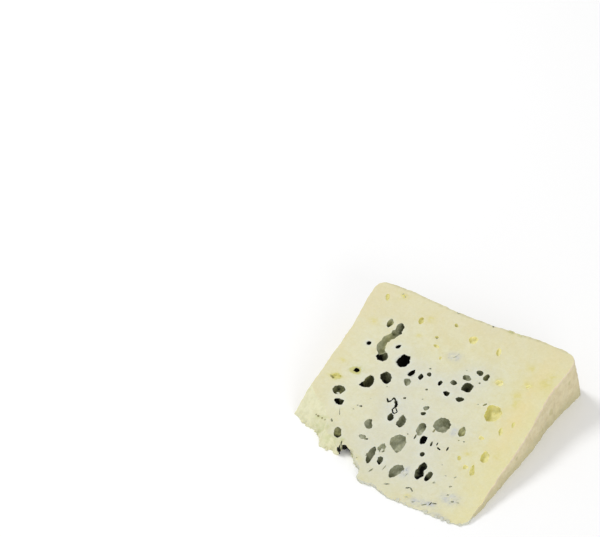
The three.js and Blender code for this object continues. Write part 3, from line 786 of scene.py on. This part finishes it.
def channel(places, width, dark):
    """A tube that follows a curve through the places, most of it sunk into the face."""
    route = curve_through(places, CHANNEL_STEP)
    ahead = np.gradient(route, axis=0)
    ahead /= np.linalg.norm(ahead, axis=1)[:, None]
    around = max(12, round(math.pi * width / HOLE_STEP))
    turns = np.linspace(0, 2 * np.pi, around, endpoint=False)
    rings = []
    for place, way in zip(route, ahead):
        side = np.array([way[1], -way[0]])
        reach = width / 2 * (1 + WIDENING * noise.noise(Vector((*place, 0)) / WIDENING_LENGTH))
        shift = SHIFT * noise.noise(Vector((*place, 7)) / SHIFT_LENGTH)
        flat = place + np.outer(np.cos(turns) * reach + shift, side)
        rings.append(np.column_stack([flat, np.sin(turns) * reach - width * CHANNEL_SINK]))
    made = stack("channel", rings, LINED, len(holes))
    points, normals = points_of(made.data), normals_of(made.data)
    put_points(made.data, lay_on_face(points + normals * bumps(points, MOULD_BUMPS, 7)[:, None], 0, 0))
    face_outwards(made)
    middle = route.mean(0)
    holes.append((Hole(middle[0], middle[1], CHANNEL_SPAN, CHANNEL_SPAN, 0, dark, 0), LINED))
    return made


def jagged_cracks(places):
    """Rows for a crack that zigzags from each place (across, out, width) to the next."""
    rows = []
    for (x, y, width), (x2, y2, _) in zip(places, places[1:]):
        length = math.hypot(x2 - x, y2 - y) * JAGGED_OVERLAP
        turn = math.degrees(math.atan2(y2 - y, x2 - x))
        rows.append(Hole((x + x2) / 2, (y + y2) / 2, length, width, turn, JAGGED_DARK, 0))
    return rows


cutters += [channel(*row) for row in CHANNELS]
cutters += [cutter(row, "crack", LINED, lay_on_face) for row in jagged_cracks(JAGGED_LINE)]
print("with the channel and the zigzag:", len(cutters), "cutters")

# %% [markdown]
# The lower cut face has holes too. Nobody sees them as it lies, so they are placed by a seeded draw, kept
# apart from each other and from the holes above.

# %% Holes of the lower face
UNDER_HOLES = 20
UNDER_TRIES = 600
UNDER_ACROSS = (6, 84)
UNDER_OUT = (34, 93)
UNDER_WIDTH = (2.2, 8)
UNDER_ROUNDNESS = (0.5, 0.95)
UNDER_DARK = (0.3, 1)
SMALL_HOLES = 1.7
UNDER_GAP = 1.6
UNDER_FLOOR = 2
REST_SPOT = (44, 62, 6)
WORD = 0xFFFFFFFF


def seeded_draw(seed):
    """Numbers from 0 to 1, the same ones as the solid's own holes were placed with."""
    state = seed
    while True:
        state = (state + 0x6D2B79F5) & WORD
        mixed = ((state ^ (state >> 15)) * (1 | state)) & WORD
        mixed = ((mixed + (((mixed ^ (mixed >> 7)) * (61 | mixed)) & WORD)) & WORD) ^ mixed
        yield ((mixed ^ (mixed >> 14)) & WORD) / 2 ** 32


def crowded(across, out, longest, depth, chosen):
    """Whether a new hole would be too near to another one, to one above or to the spot left to rest on."""
    if math.hypot(across - REST_SPOT[0], out - REST_SPOT[1]) < REST_SPOT[2] + longest / 2:
        return True

    def near(hole, gap):
        return math.hypot(across - hole.across, out - hole.out) < (longest + hole.longest) / 2 + gap

    if any(near(hole, UNDER_GAP) for hole in chosen):
        return True
    left = thickness_at(out) - depth - UNDER_FLOOR
    deepest = KINDS["deep"]["depth"] * (1 + KINDS["deep"]["undercut"])
    above = [Hole(*row) for row in DEEP_HOLES]
    return any(near(hole, 0) and left < deepest * hole.shortest for hole in above)


def under_rows():
    draw = seeded_draw(7)
    chosen = []
    for _ in range(UNDER_TRIES):
        if len(chosen) == UNDER_HOLES:
            break
        across = between(UNDER_ACROSS, next(draw))
        out = between(UNDER_OUT, next(draw))
        longest = between(UNDER_WIDTH, next(draw) ** SMALL_HOLES)
        shortest = longest * between(UNDER_ROUNDNESS, next(draw))
        turn = 180 * next(draw)
        if not crowded(across, out, longest, KINDS["deep"]["depth"] * shortest, chosen):
            dark = between(UNDER_DARK, turn / 180)
            chosen.append(Hole(across, out, longest, shortest, turn, dark, 2 * turn))
    return chosen


cutters += [cutter(row, "deep", LINED, lay_under) for row in under_rows()]
first_under = len(holes) - UNDER_HOLES
wedge = combine(wedge, cutters, "DIFFERENCE")
print("cut:", len(wedge.data.polygons), "faces,", len(wedge.data.vertices), "points")

# %% [markdown]
# Here and there a flake of curd stayed in a hole, and a few lumps of the green rind hang over the rim. A
# row gives the place across and out, half its size in the three directions, and its height above the
# face.

# %% Flakes and lumps
FLAKES = [
    (11.9, 39.3, 0.85, 0.5, 0.7, -0.5), (54.2, 14.2, 0.8, 1.15, 0.8, -0.6),
    (62.2, 18.4, 0.7, 1.7, 0.9, -0.7), (41.5, 20.6, 0.5, 1.1, 0.5, -0.6),
    (60.9, 96.1, 1.6, 0.5, 0.45, 0.05), (64.8, 95.6, 1.1, 0.5, 0.45, 0.05),
]
FLAKE_ROUGHNESS = 0.45


def flake(across, out, half_across, half_out, half_up, level):
    points, faces = lump(np.array([half_across, half_out, half_up]), FLAKE_ROUGHNESS, across)
    return to_mesh("flake", lay_on_face(points + (0, 0, level), across, out), faces, CUT)


wedge = combine(wedge, [flake(*row) for row in FLAKES], "UNION")
print("with flakes:", len(wedge.data.polygons), "faces")

# %% [markdown]
# ## Into the shared frame
# The booleans leave a few slivers, and closing those can fold two faces onto each other, so such pairs go
# too. The finished mesh moves from the wheel's millimetres to the frame's metres. Relief that would stand
# out of the solid's box is pressed back to it, and edges between surfaces that meet at a steep angle stay
# sharp. A point that is smooth on both sides of such an edge would look swollen.

# %% Clean up and place
SHARP_ANGLE = math.radians(42)
SLIVER = 0.004


def tidy_mesh(mesh):
    work = bmesh.new()
    work.from_mesh(mesh)
    bmesh.ops.dissolve_degenerate(work, dist=SLIVER, edges=work.edges)
    bmesh.ops.triangulate(work, faces=work.faces)
    same_points = {}
    for face in work.faces:
        same_points.setdefault(frozenset(face.verts), []).append(face)
    folded = [face for faces in same_points.values() if len(faces) > 1 for face in faces]
    bmesh.ops.delete(work, geom=folded, context="FACES")
    loose = [v for v in work.verts if not v.link_faces]
    bmesh.ops.delete(work, geom=loose, context="VERTS")
    open_edges = sum(1 for e in work.edges if len(e.link_faces) != 2)
    work.to_mesh(mesh)
    work.free()
    return open_edges


open_edges = tidy_mesh(wedge.data)
wheel_points = points_of(wedge.data)
placed = (wheel_points - WHEEL_TO_FRAME) * MM
kept = np.clip(placed, np.array(cad_low), np.array(cad_high))
print("open edges:", open_edges, "triangles:", len(wedge.data.polygons))
print("pressed back by up to", round(1000 * float(np.abs(kept - placed).max()), 3), "mm")
put_points(wedge.data, kept)
wedge.name = "cheese"
wedge.data.name = "cheese"
wedge.data.polygons.foreach_set("use_smooth", [True] * len(wedge.data.polygons))
wedge.data.set_sharp_from_angle(angle=SHARP_ANGLE)

# %% [markdown]
# ## What lies where
# A real cheese isn't painted evenly: the paste is bluish white where mould is near, yellow towards the
# right rind and warm along the rim. These slow changes are worked out for each point of the mesh and
# stored as attributes, and the material adds the fine detail with noise. Masks that must end at an edge,
# such as the rind or a lined hole, are stored for each face instead.

# %% Masks for each face
def face_numbers(mesh, label):
    values = np.empty(len(mesh.polygons), np.int32)
    mesh.attributes[label].data.foreach_get("value", values)
    return values


def store(mesh, label, values, domain="POINT"):
    layer = mesh.attributes.new(label, "FLOAT", domain)
    layer.data.foreach_set("value", np.asarray(values, np.float32))


mesh = wedge.data
surface = face_numbers(mesh, "surface")
hole_of_face = face_numbers(mesh, "hole")
for label, number in (("rind", RIND), ("broken", BROKEN), ("lined", LINED), ("pit", PIT)):
    store(mesh, label, surface == number, "FACE")
    print(label, int((surface == number).sum()), "faces")

# %% Places of the points
corners = np.empty(len(mesh.polygons) * 3, np.int32)
mesh.polygons.foreach_get("vertices", corners)
corners = corners.reshape(-1, 3)
# each point's place along the upper face, across and out, and how far it is under that face
across_face = wheel_points[:, 0]
out_face = wheel_points @ FACE_OUT - TIP_THICKNESS * RISE
under_face = TIP_THICKNESS * RUN - wheel_points @ FACE_UP
hole_of_point = np.full(len(mesh.vertices), -1)
inside = hole_of_face >= 0
for k in range(3):
    hole_of_point[corners[inside, k]] = hole_of_face[inside]
print(int((hole_of_point >= 0).sum()), "points lie in holes")

# %% [markdown]
# How dark a point of a lining is depends on its row's darkness, on how deep it lies and on how far it is
# on the dark side. These last two are painted shade: the lining gets darker deeper in and on its shaded
# side. Black holes are black throughout, and small specks are lit more than their width suggests.

# %% Tone and painted shade of the lining
FULL_DEPTH = 0.8
SIDE_RANGE = (-0.15, 0.55)
FLOOR_SHADE = 0.5
DEPTH_SHADE = 0.3
SIDE_SHADE = 0.62
SIDE_GAIN = 1.7
SPECK_WIDTH = 1.8
SPECK_SHADE = 0.6
tone = np.zeros(len(mesh.vertices))
sunk = np.zeros(len(mesh.vertices))
for number, (hole, _) in enumerate(holes):
    mine = hole_of_point == number
    if not mine.any():
        continue
    below = wheel_points[mine, 2] if number >= first_under else under_face[mine]
    out_here = wheel_points[mine, 1] if number >= first_under else out_face[mine]
    shaded_side = math.radians(hole.shaded_side)
    offset = ((across_face[mine] - hole.across) * math.cos(shaded_side)
              + (out_here - hole.out) * math.sin(shaded_side)) / (hole.shortest / 2)
    depth = np.clip(below / (FULL_DEPTH * hole.shortest), 0, 1)
    lean = smooth(*SIDE_RANGE, offset)
    tiny = hole.longest < SPECK_WIDTH and hole.dark < JAGGED_DARK
    strength = hole.dark * (SPECK_SHADE if tiny else 1)
    # painted shade: darker deeper in the hole and towards its shaded side
    shade = strength * (FLOOR_SHADE + DEPTH_SHADE * depth)
    shade += min(1, SIDE_GAIN * strength) * SIDE_SHADE * lean
    tone[mine] = np.clip(shade, 0, 1) if strength < 1 else 1
    sunk[mine] = below
store(mesh, "tone", tone)
store(mesh, "sunk", np.clip(sunk, 0, 10))
print("tone from", round(float(tone.min()), 2), "to", round(float(tone.max()), 2))

# %% [markdown]
# The patches are soft spots of the upper face: across, out and the reach in both directions. A blue patch
# is mould just under the surface, an olive or ochre one is older mould, a ring lies round a hole, a brown
# one is dried, a yellow one is fat, and a shade spot is painted shade that darkens part of a lining. The
# spots of the rind give the distance out and the height above the table instead.

# %% Patches and spots
PATCHES = {
    "blue_patch": [
        (77, 10, 3.4, 2.6), (65.5, 3.6, 3, 1.6), (76.6, 0.5, 3, 1.6), (71, 4.6, 3.6, 1.4),
        (63.2, 40.5, 1.2, 2.2), (46, 75, 2.6, 2), (55.4, 14.8, 2, 2.4),
    ],
    "olive_patch": [
        (15.5, 22.8, 2.4, 1.7), (10.3, 23.4, 1.6, 1.2), (12.8, 21.4, 1.8, 1.2), (24.9, 18.7, 1, 1.8),
        (20.5, 17.6, 3.2, 1.8), (11, 26.4, 3, 0.8), (12.9, 53, 2.4, 2.4), (64.7, 95.6, 1.6, 0.9),
        (60.8, 96, 1.6, 0.7),
    ],
    "ochre_patch": [
        (13.4, 80.5, 3, 2.6), (12.9, 53, 2.2, 2.2), (62.6, 70.3, 2.6, 2.6), (11.4, 40.7, 3.2, 3),
        (19.6, 49, 3.4, 5), (21.3, 21.3, 3.4, 3.4), (10.6, 67.5, 2, 2), (68.2, 57.8, 2, 2),
        (66.1, 41.7, 3, 3), (67, 37.3, 3, 1), (17.2, 72, 2.5, 5),
    ],
    "ring_patch": [
        (12.6, 52.7, 2.6, 2.6), (7.2, 46.9, 2.4, 1.7),
    ],
    "brown_patch": [
        (9.5, 26.8, 0.8, 0.45), (11.7, 26.2, 0.6, 0.4), (8.3, 27.1, 0.4, 0.3), (13.4, 25.5, 0.5, 0.35),
        (24.9, 18.6, 0.3, 0.9), (5.2, 46.2, 1.4, 0.6), (12.9, 53, 1.9, 1.9), (56, 37.8, 0.4, 1.4),
        (38.9, 90.3, 0.7, 0.5), (34.6, 81.3, 0.6, 0.5),
    ],
    "yellow_patch": [
        (7, 79, 1.8, 1.4), (27.9, 89, 1.6, 1.6), (27.5, 79.3, 1.4, 1), (5.2, 55.3, 1.6, 1.2),
        (77.6, 82, 2.4, 1.6), (79.4, 73.4, 2.4, 2.2), (86.6, 82, 1.8, 2.6), (78, 66.8, 2, 2),
        (79.3, 63, 1.6, 2.4), (83.9, 36.6, 1.4, 1.6), (73.6, 33, 1.8, 1.8), (68, 70.4, 2.4, 2),
        (6.4, 46.8, 3, 2), (11.6, 95.8, 2.4, 1.6), (85.5, 77, 3, 4), (34.6, 13, 1.8, 1.4), (61, 4.6, 2, 1),
    ],
    # painted shade in parts of the linings
    "dark_spot": [
        (17, 77.1, 0.7, 0.7), (19.6, 79.5, 1.2, 2.2), (18.2, 62.6, 1.6, 2), (13.6, 80.4, 0.8, 1.2),
        (56.7, 64.2, 1.5, 1.6), (39, 61.6, 1, 1.4), (26.3, 55.2, 2, 1.2), (16.9, 67.4, 1.3, 1.5),
        (10.6, 42.2, 1, 1), (59.5, 20, 1.2, 3), (51.8, 39.2, 1, 1), (46.6, 22.6, 1, 1.2),
        (60.4, 44.2, 1.4, 1.2),
    ],
}

# painted shade: black on the overhanging wall of the notch
NOTCH_SHADE_SPOTS = [(26.9, 18.2, 1.9, 2.3), (25.4, 15.2, 0.8, 1.4)]
RIND_SPOTS = [(72, 6.5, 1.7, 1.7), (64, 3.5, 1, 1), (41, 5.5, 1, 1), (86, 12, 1.2, 1.2)]


def spots(rows, first=across_face, second=out_face):
    """1 in the middle of each spot, less and less away from it."""
    total = np.zeros(len(first))
    for x, y, reach_x, reach_y in rows:
        distance = ((first - x) / reach_x) ** 2 + ((second - y) / reach_y) ** 2
        total = np.maximum(total, np.exp(-distance))
    return total


on_top = smooth(3.5, 1.5, under_face)
for label, rows in PATCHES.items():
    store(mesh, label, spots(rows) * (on_top if label in ("blue_patch", "yellow_patch") else 1))
on_right = across_face > 80
store(mesh, "rind_spot", spots(RIND_SPOTS, wheel_points[:, 1], wheel_points[:, 2]) * on_right)
store(mesh, "notch", spots(NOTCH_SHADE_SPOTS))
print("spots:", sum(len(rows) for rows in PATCHES.values()) + len(RIND_SPOTS) + len(NOTCH_SHADE_SPOTS))

# %% [markdown]
# Mould spreads from the holes into the paste. Far around them it turns it bluish, which is called the
# halo here and is weaker at the left, and close to the edge of a dark hole it turns it bright. This
# bright paste also stands in for the lit rims of the holes, as a painted highlight. The other masks rise
# from 0 to 1 between two places: towards the right rind, the rim, the upper edge, the foot and the thin
# end.

# %% Slow changes of the paste
HALO_REACH = 4.5
HALO_STRENGTH = 0.25
HALO_FULL_WIDTH = 3
HALO_LEFT = 0.4
HALO_ACROSS = (12, 36)
NEAR_REACH = 1.5
NEAR_EDGE = 0.22
NEAR_WIDTH = 1.5
NEAR_LEAST = 0.3
RIGHT_ACROSS = (66, 92)
RIM_OUT = (70, 97)
LEFT_ACROSS = (14, 0)
LEFT_SHARE = 0.7
EDGE_DEPTH = (1.6, 0.6)
STRIPE_MIDDLE = 82.5
STRIPE_REACH = 4
STRIPE_OUT = (24, 50)
RIM_LINE_WIDTH = (1.1, 0.1)
WORN_OUT = (34, 14)
WORN_ACROSS = (66, 40)
FOOT_HEIGHT = (7, 0.5)
THIN_ACROSS = (28, 34)
THIN_OUT = (16, 8)


def lined_holes(narrowest):
    """The lined holes of the upper face, channels aside, and how far every point is from each."""
    for hole, lining in holes[:first_under]:
        if lining == LINED and hole.longest != CHANNEL_SPAN and hole.shortest >= narrowest:
            yield hole, np.hypot(across_face - hole.across, out_face - hole.out)


def mould_nearby():
    total = np.zeros(len(across_face))
    for hole, distance in lined_holes(0):
        fall = np.exp(-(distance / (hole.longest / 2 + HALO_REACH)) ** 2)
        total += HALO_STRENGTH * min(1, hole.shortest / HALO_FULL_WIDTH) * (1 + hole.dark) * fall
    return 1 - np.exp(-total)


def black_nearby():
    total = np.zeros(len(across_face))
    for hole, distance in lined_holes(NEAR_WIDTH):
        beyond = np.maximum(distance - NEAR_EDGE * (hole.longest + hole.shortest), 0)
        strength = NEAR_LEAST + (1 - NEAR_LEAST) * hole.dark
        total = np.maximum(total, strength * np.exp(-(beyond / NEAR_REACH) ** 2))
    return total


to_rim = rim_radius(across_face) - np.hypot(wheel_points[:, 1], wheel_points[:, 2])
stripe = np.exp(-((across_face - STRIPE_MIDDLE) / STRIPE_REACH) ** 2)
for label, values in {
    "halo": mould_nearby() * (HALO_LEFT + (1 - HALO_LEFT) * smooth(*HALO_ACROSS, across_face)),
    "near": black_nearby(),
    "right": smooth(*RIGHT_ACROSS, across_face),
    "rim": smooth(*RIM_OUT, out_face) + smooth(*LEFT_ACROSS, across_face) * LEFT_SHARE,
    "edge": smooth(*EDGE_DEPTH, under_face),
    "stripe": stripe * smooth(*STRIPE_OUT, out_face),
    "rim_line": smooth(*RIM_LINE_WIDTH, to_rim) * on_top,
    "worn": smooth(*WORN_OUT, out_face) * smooth(*WORN_ACROSS, across_face),
    "foot": smooth(*FOOT_HEIGHT, wheel_points[:, 2]),
    "thin_end": smooth(*THIN_ACROSS, across_face) * smooth(*THIN_OUT, out_face),
}.items():
    store(mesh, label, values)
    print(label, "on average", round(float(np.mean(values)), 3))

# %% [markdown]
# ## Writing a material as sums
# Shader nodes are easiest to read as formulas. A small class wraps a socket: adding or multiplying two of
# them adds the Math node, and one method makes any other node from its type, its settings and its
# sockets.

# %% Sockets that can be added up
class Wire:
    """One output of a node, which can be used in a formula."""

    def __init__(self, tree, socket):
        self.tree = tree
        self.socket = socket

    def calculate(self, operation, *values):
        return add_node(self.tree, "ShaderNodeMath", {"operation": operation}, dict(enumerate(values)))

    def __add__(self, other):
        return self.calculate("ADD", self, other)

    def __radd__(self, other):
        return self.calculate("ADD", other, self)

    def __sub__(self, other):
        return self.calculate("SUBTRACT", self, other)

    def __rsub__(self, other):
        return self.calculate("SUBTRACT", other, self)

    def __mul__(self, other):
        return self.calculate("MULTIPLY", self, other)

    def __rmul__(self, other):
        return self.calculate("MULTIPLY", other, self)

    def limit(self):
        return add_node(self.tree, "ShaderNodeClamp", {}, {"Value": self})


def add_node(tree, kind, settings, sockets, output=0):
    """Any node: its settings are set first, then its sockets get a value or a link."""
    node = tree.nodes.new(kind)
    for label, value in settings.items():
        if label == "stops":
            stops = node.color_ramp.elements
            while len(stops) < len(value):
                stops.new(0.5)
            for stop, (place, tint) in zip(stops, value):
                stop.position = place
                stop.color = tint
        else:
            setattr(node, label, value)
    for label, value in sockets.items():
        if isinstance(value, Wire):
            tree.links.new(value.socket, node.inputs[label])
        else:
            node.inputs[label].default_value = value
    return Wire(tree, node.outputs[output]) if node.outputs else None


# %% Words for the material
MIX_SHARE, MIX_FIRST, MIX_SECOND, MIX_RESULT = 0, 6, 7, 2


def colour(red, green, blue):
    """A screen colour, from 0 to 255, as the light that Blender works with."""
    def linear(value):
        value /= 255
        return value / 12.92 if value <= 0.04045 else ((value + 0.055) / 1.055) ** 2.4
    return (linear(red), linear(green), linear(blue), 1)


class Paint:
    """A material, and short words for the nodes it is made of."""

    def __init__(self, name):
        self.material = bpy.data.materials.new(name)
        self.material.use_nodes = True
        self.tree = self.material.node_tree
        self.tree.nodes.clear()
        self.place = self.node("ShaderNodeVectorMath", {"operation": "MULTIPLY"}, {
            0: self.node("ShaderNodeTexCoord", {}, {}, "Object"), 1: (1000, 1000, 1000)})

    def node(self, kind, settings, sockets, output=0):
        return add_node(self.tree, kind, settings, sockets, output)

    def mask(self, label):
        return self.node("ShaderNodeAttribute", {"attribute_name": label}, {}, "Fac")

    def noise(self, size, detail=3, roughness=0.55):
        """Cloudy noise from 0 to 1 with patches of about the given size in mm."""
        return self.node("ShaderNodeTexNoise", {}, {
            "Vector": self.place, "Scale": 1 / size, "Detail": detail, "Roughness": roughness})

    def ramp(self, value, low, high):
        """0 below low, 1 above high, smooth between."""
        return self.node("ShaderNodeMapRange", {"interpolation_type": "SMOOTHSTEP"}, {
            "Value": value, "From Min": low, "From Max": high})

    def blend(self, share, first, second, mode="MIX"):
        return self.node("ShaderNodeMix", {"data_type": "RGBA", "blend_type": mode}, {
            MIX_SHARE: share, MIX_FIRST: first, MIX_SECOND: second}, MIX_RESULT)


# %% [markdown]
# ## The finish of the cheese
# The paste is moist and fatty: light goes in a little way and comes out softened, so the shader gets some
# subsurface scattering with a short reach, as plain numbers. Its colour starts as cream, and layers go
# over it: first the broad ones, then patches and specks. Each layer is a share, made from a mask and some
# noise, and the colour that shows where the share is 1. A picture laid over the face could do the same,
# but it would blur close up and tear at the holes.

# %% Colours of the paste
paint = Paint("blue_cheese")
mask, ramp, blend = paint.mask, paint.ramp, paint.blend
cloud, mottle, grain = paint.noise(9, 4), paint.noise(2.4, 4, 0.6), paint.noise(0.7, 3, 0.6)
velvet, tuft = paint.noise(0.42, 4, 0.7), paint.noise(1.2, 3, 0.6)
bright, smoky, olive = colour(225, 228, 215), colour(197, 200, 202), colour(196, 200, 144)
brown, black = colour(132, 128, 84), colour(18, 18, 10)


def layers(ground, rows):
    """Puts colours over the ground, each where its share says."""
    for share, tint in rows:
        ground = blend(share, ground, tint)
    return ground


paste = layers(colour(225, 222, 188), [
    (ramp(cloud * 0.5 + mottle * 0.5, 0.4, 0.62), colour(221, 215, 172)),
    ((mask("right") * (0.2 + cloud)).limit(), colour(228, 221, 170)),
    ((mask("stripe") * (0.1 + cloud)).limit(), colour(232, 217, 162)),
    ((mask("rim") * (0.2 + cloud)).limit(), colour(224, 216, 178)),
    (mask("worn") * 0.6, colour(214, 211, 178)),
    ((mask("halo") * (0.65 + mottle * 0.7)).limit(), colour(213, 214, 203)),
    # partly painted highlight: bright paste at the rims of dark holes
    ((mask("near") * (0.1 + mottle * 0.8)).limit(), bright),
])
print("the broad layers take", len(paint.tree.nodes), "nodes")

# %% Patches and specks on the paste
olive_marks = mask("olive_patch") * ramp(mottle, 0.34, 0.6) * 0.85
brown_marks = ramp(mask("brown_patch") + (grain - 0.5) * 0.5, 0.3, 0.7)
flecks = ramp(paint.noise(0.9, 2, 0.5), 0.72, 0.78) * ramp(cloud, 0.5, 0.62)
paste = layers(paste, [
    (ramp(mask("near") + (velvet - 0.5) * 0.35, 0.86, 1.06) * 0.55, colour(150, 154, 146)),
    (mask("blue_patch") * ramp(mottle, 0.3, 0.58), smoky),
    (mask("blue_patch") * ramp(paint.noise(1.1, 4, 0.65), 0.56, 0.66), colour(160, 166, 168)),
    (olive_marks, olive),
    (mask("yellow_patch") * ramp(mottle, 0.3, 0.6) * 0.9, colour(219, 210, 136)),
    (brown_marks, brown),
    (mask("rim_line") * (0.15 + ramp(mottle, 0.35, 0.65) * 0.45), colour(176, 172, 134)),
    (ramp(mask("ring_patch") + (mottle - 0.5) * 0.9, 0.3, 0.56) * 0.8, colour(205, 201, 130)),
    (flecks * 0.45, colour(196, 186, 138)),
])
uneven = blend(ramp(paint.noise(1.5, 4, 0.65), 0.3, 0.7), (0.46, 0.46, 0.44, 1), (0.54, 0.54, 0.55, 1))
paste = blend(0.5, paste, uneven, "OVERLAY")
print("with patches and specks", len(paint.tree.nodes), "nodes")

# %% [markdown]
# A bare pit is a clean, fatty yellow, deeper with its tone. The lining of the other holes is mould: it
# goes from grey-green to black with its tone, some of it is greyer or more ochre, and right under the
# edge it is thin, so the paste shows. In both the tone holds painted shade: darker deeper in and on the
# shaded side.

# %% Colours of the pits and the mould
tone = mask("tone")
# partly painted shade: a pit turns deeper yellow deeper in and on its shaded side
pit = blend(ramp(tone + mottle * 0.3, 0.15, 0.95), colour(245, 239, 180), colour(221, 214, 136))
pit = blend(brown_marks * 0.8, pit, brown)
# painted shade: the tone darkens the mould deeper in and on its shaded side, and the shade spots add more
darkness = (tone + mask("dark_spot") * 0.45 + (tuft - 0.5) * 0.5 + (velvet - 0.5) * 0.3).limit()
mould_stops = [(0, colour(198, 199, 172)), (0.4, colour(130, 132, 100)), (0.82, black)]
mould = paint.node("ShaderNodeValToRGB", {"stops": mould_stops}, {"Fac": darkness})
greyness = ramp(paint.noise(3.5, 2), 0.35, 0.65)
mould = blend(greyness * 0.6, mould, blend(0.5, mould, colour(128, 134, 130), "OVERLAY"))
ochre = blend(1, mould, colour(255, 250, 196), "MULTIPLY")
mould = blend(mask("ochre_patch") * 0.8, mould, ochre)
thin_lining = ramp(mask("sunk") + (tuft - 0.5) * 0.4, 0.2, 0.02)
mould = blend(thin_lining * 0.7, mould, bright)
print("with pits and mould", len(paint.tree.nodes), "nodes")

# %% [markdown]
# The rind is drier and browner than the paste. It darkens towards the foot, partly by its own colour and
# partly as painted shade where it meets the table, and is pinkish along its upper edge. The break is
# cream like the paste, with the marks of the patches, and the notch's overhanging wall gets painted shade
# in black.

# %% Colours of the rind and the break
rind_olive = colour(184, 176, 132)
rind = layers(colour(216, 205, 170), [
    (ramp(paint.noise(3.2, 5, 0.62), 0.38, 0.66), colour(206, 193, 156)),
    (ramp(paint.noise(3.8, 4, 0.6), 0.64, 0.72) * 0.55, rind_olive),
    # partly painted shade: the rind is darker near the table
    (mask("foot") * 0.8, colour(193, 186, 148)),
    (ramp(mask("rind_spot") + (grain - 0.5) * 0.5, 0.2, 0.8) * 0.7, rind_olive),
    (mask("edge") * (1 - mask("foot")) * 0.7, colour(230, 212, 190)),
])
broken = layers(colour(228, 226, 192), [
    (ramp(paint.noise(2.1, 4, 0.6), 0.4, 0.66), colour(219, 217, 180)),
    (mask("thin_end") * 0.8, colour(204, 205, 192)),
    (olive_marks, olive),
    (brown_marks, brown),
    (mask("blue_patch") * ramp(mottle, 0.34, 0.6) * 0.8, smoky),
    # painted shade: black on the overhanging wall of the notch
    (ramp(mask("notch") + (tuft - 0.5) * 0.9, 0.3, 0.62), black),
])

# %% Put the colours together
base = layers(paste, [
    (mask("rind"), rind), (mask("broken"), broken), (mask("pit"), pit), (mask("lined"), mould)])
base = blend(0.18, base, blend(grain, colour(140, 140, 140), colour(255, 255, 255)), "MULTIPLY")
print("colours take", len(paint.tree.nodes), "nodes")

# %% [markdown]
# The bare paste has a faint sheen, and the mould, the rind and the break are dry. The fine relief is only
# a bump: a soft grain on the paste and a fuzz on what is dry.

# %% Gloss and fine relief
dry = (mask("lined") + mask("rind") * 0.7 + mask("broken") * 0.6).limit()
gloss = 0.5 + mottle * 0.12 + dry * 0.32
fine = grain * 0.4 + paint.noise(0.3, 2) * 0.25 + mottle * 0.5
fuzz = velvet * 0.7 + tuft * 0.6
bump = paint.node("ShaderNodeBump", {}, {
    "Height": blend(dry, fine, fuzz), "Strength": 0.4, "Distance": 0.0003})
shader = paint.node("ShaderNodeBsdfPrincipled", {}, {
    "Base Color": base, "Roughness": gloss.limit(), "Normal": bump, "IOR": 1.45,
    "Specular IOR Level": 0.28, "Subsurface Weight": 0.25, "Subsurface Scale": 0.0008,
    "Subsurface Radius": (1.0, 0.85, 0.6)})
paint.node("ShaderNodeOutputMaterial", {}, {"Surface": shader})
wedge.data.materials.clear()
wedge.data.materials.append(paint.material)
print("material has", len(paint.tree.nodes), "nodes")

# %% [markdown]
# ## Floor, light and camera
# A pale table under even studio light shows the cheese as it is. The main light comes from the upper
# left, so the holes are shaded on that side. A larger, weaker one from the front right opens the shadows,
# without a reflection of its own, because that would wash out the cut face seen from behind. A bright
# surround does the rest.

# %% Floor
FLOOR_REACH = 3.0
floor_mesh = bpy.data.meshes.new("floor")
floor_corners = [(FLOOR_REACH * x, FLOOR_REACH * y, 0) for x, y in ((-1, -1), (1, -1), (1, 1), (-1, 1))]
floor_mesh.from_pydata(floor_corners, [], [(0, 1, 2, 3)])
floor = bpy.data.objects.new("floor", floor_mesh)
bpy.context.scene.collection.objects.link(floor)
table = Paint("table")
table_shader = table.node("ShaderNodeBsdfPrincipled", {}, {
    "Base Color": (0.97, 0.97, 0.97, 1), "Roughness": 0.6})
table.node("ShaderNodeOutputMaterial", {}, {"Surface": table_shader})
floor_mesh.materials.append(table.material)
print("the floor is", 2 * FLOOR_REACH, "m wide")

# %% Camera
CAMERA_PLACE = Vector((0.4135, -0.82755, 0.7649))
CAMERA_TARGET = Vector((-0.0929, 0.06295, 0))
LENS_LENGTH = 180
camera_data = bpy.data.cameras.new("camera")
camera_data.lens = LENS_LENGTH
camera = bpy.data.objects.new("camera", camera_data)
bpy.context.scene.collection.objects.link(camera)
camera.location = CAMERA_PLACE
camera.rotation_euler = (CAMERA_TARGET - CAMERA_PLACE).to_track_quat("-Z", "Y").to_euler()
bpy.context.scene.camera = camera
print("the camera is", round((CAMERA_TARGET - CAMERA_PLACE).length, 2), "m away")


# %% Lights
def area_light(name, place, size, power):
    data = bpy.data.lights.new(name, "AREA")
    data.shape = "DISK"
    data.size = size
    data.energy = power
    lamp = bpy.data.objects.new(name, data)
    bpy.context.scene.collection.objects.link(lamp)
    lamp.location = place
    lamp.rotation_euler = (-Vector(place)).to_track_quat("-Z", "Y").to_euler()
    return lamp


area_light("key", (-0.8, 0.1, 0.9), 0.4, 6)
area_light("fill", (1.0, -0.9, 0.35), 0.9, 8).visible_glossy = False
world = bpy.data.worlds.new("surround")
bpy.context.scene.world = world
world.use_nodes = True
background = world.node_tree.nodes["Background"].inputs
background["Color"].default_value = (1, 1, 1, 1)
background["Strength"].default_value = 0.65
bpy.context.scene.view_settings.view_transform = "Standard"
print("two lights and a white surround")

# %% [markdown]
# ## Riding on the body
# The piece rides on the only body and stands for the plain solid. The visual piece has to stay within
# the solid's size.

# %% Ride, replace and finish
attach(wedge, "root")
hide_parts("cheese_wedge")
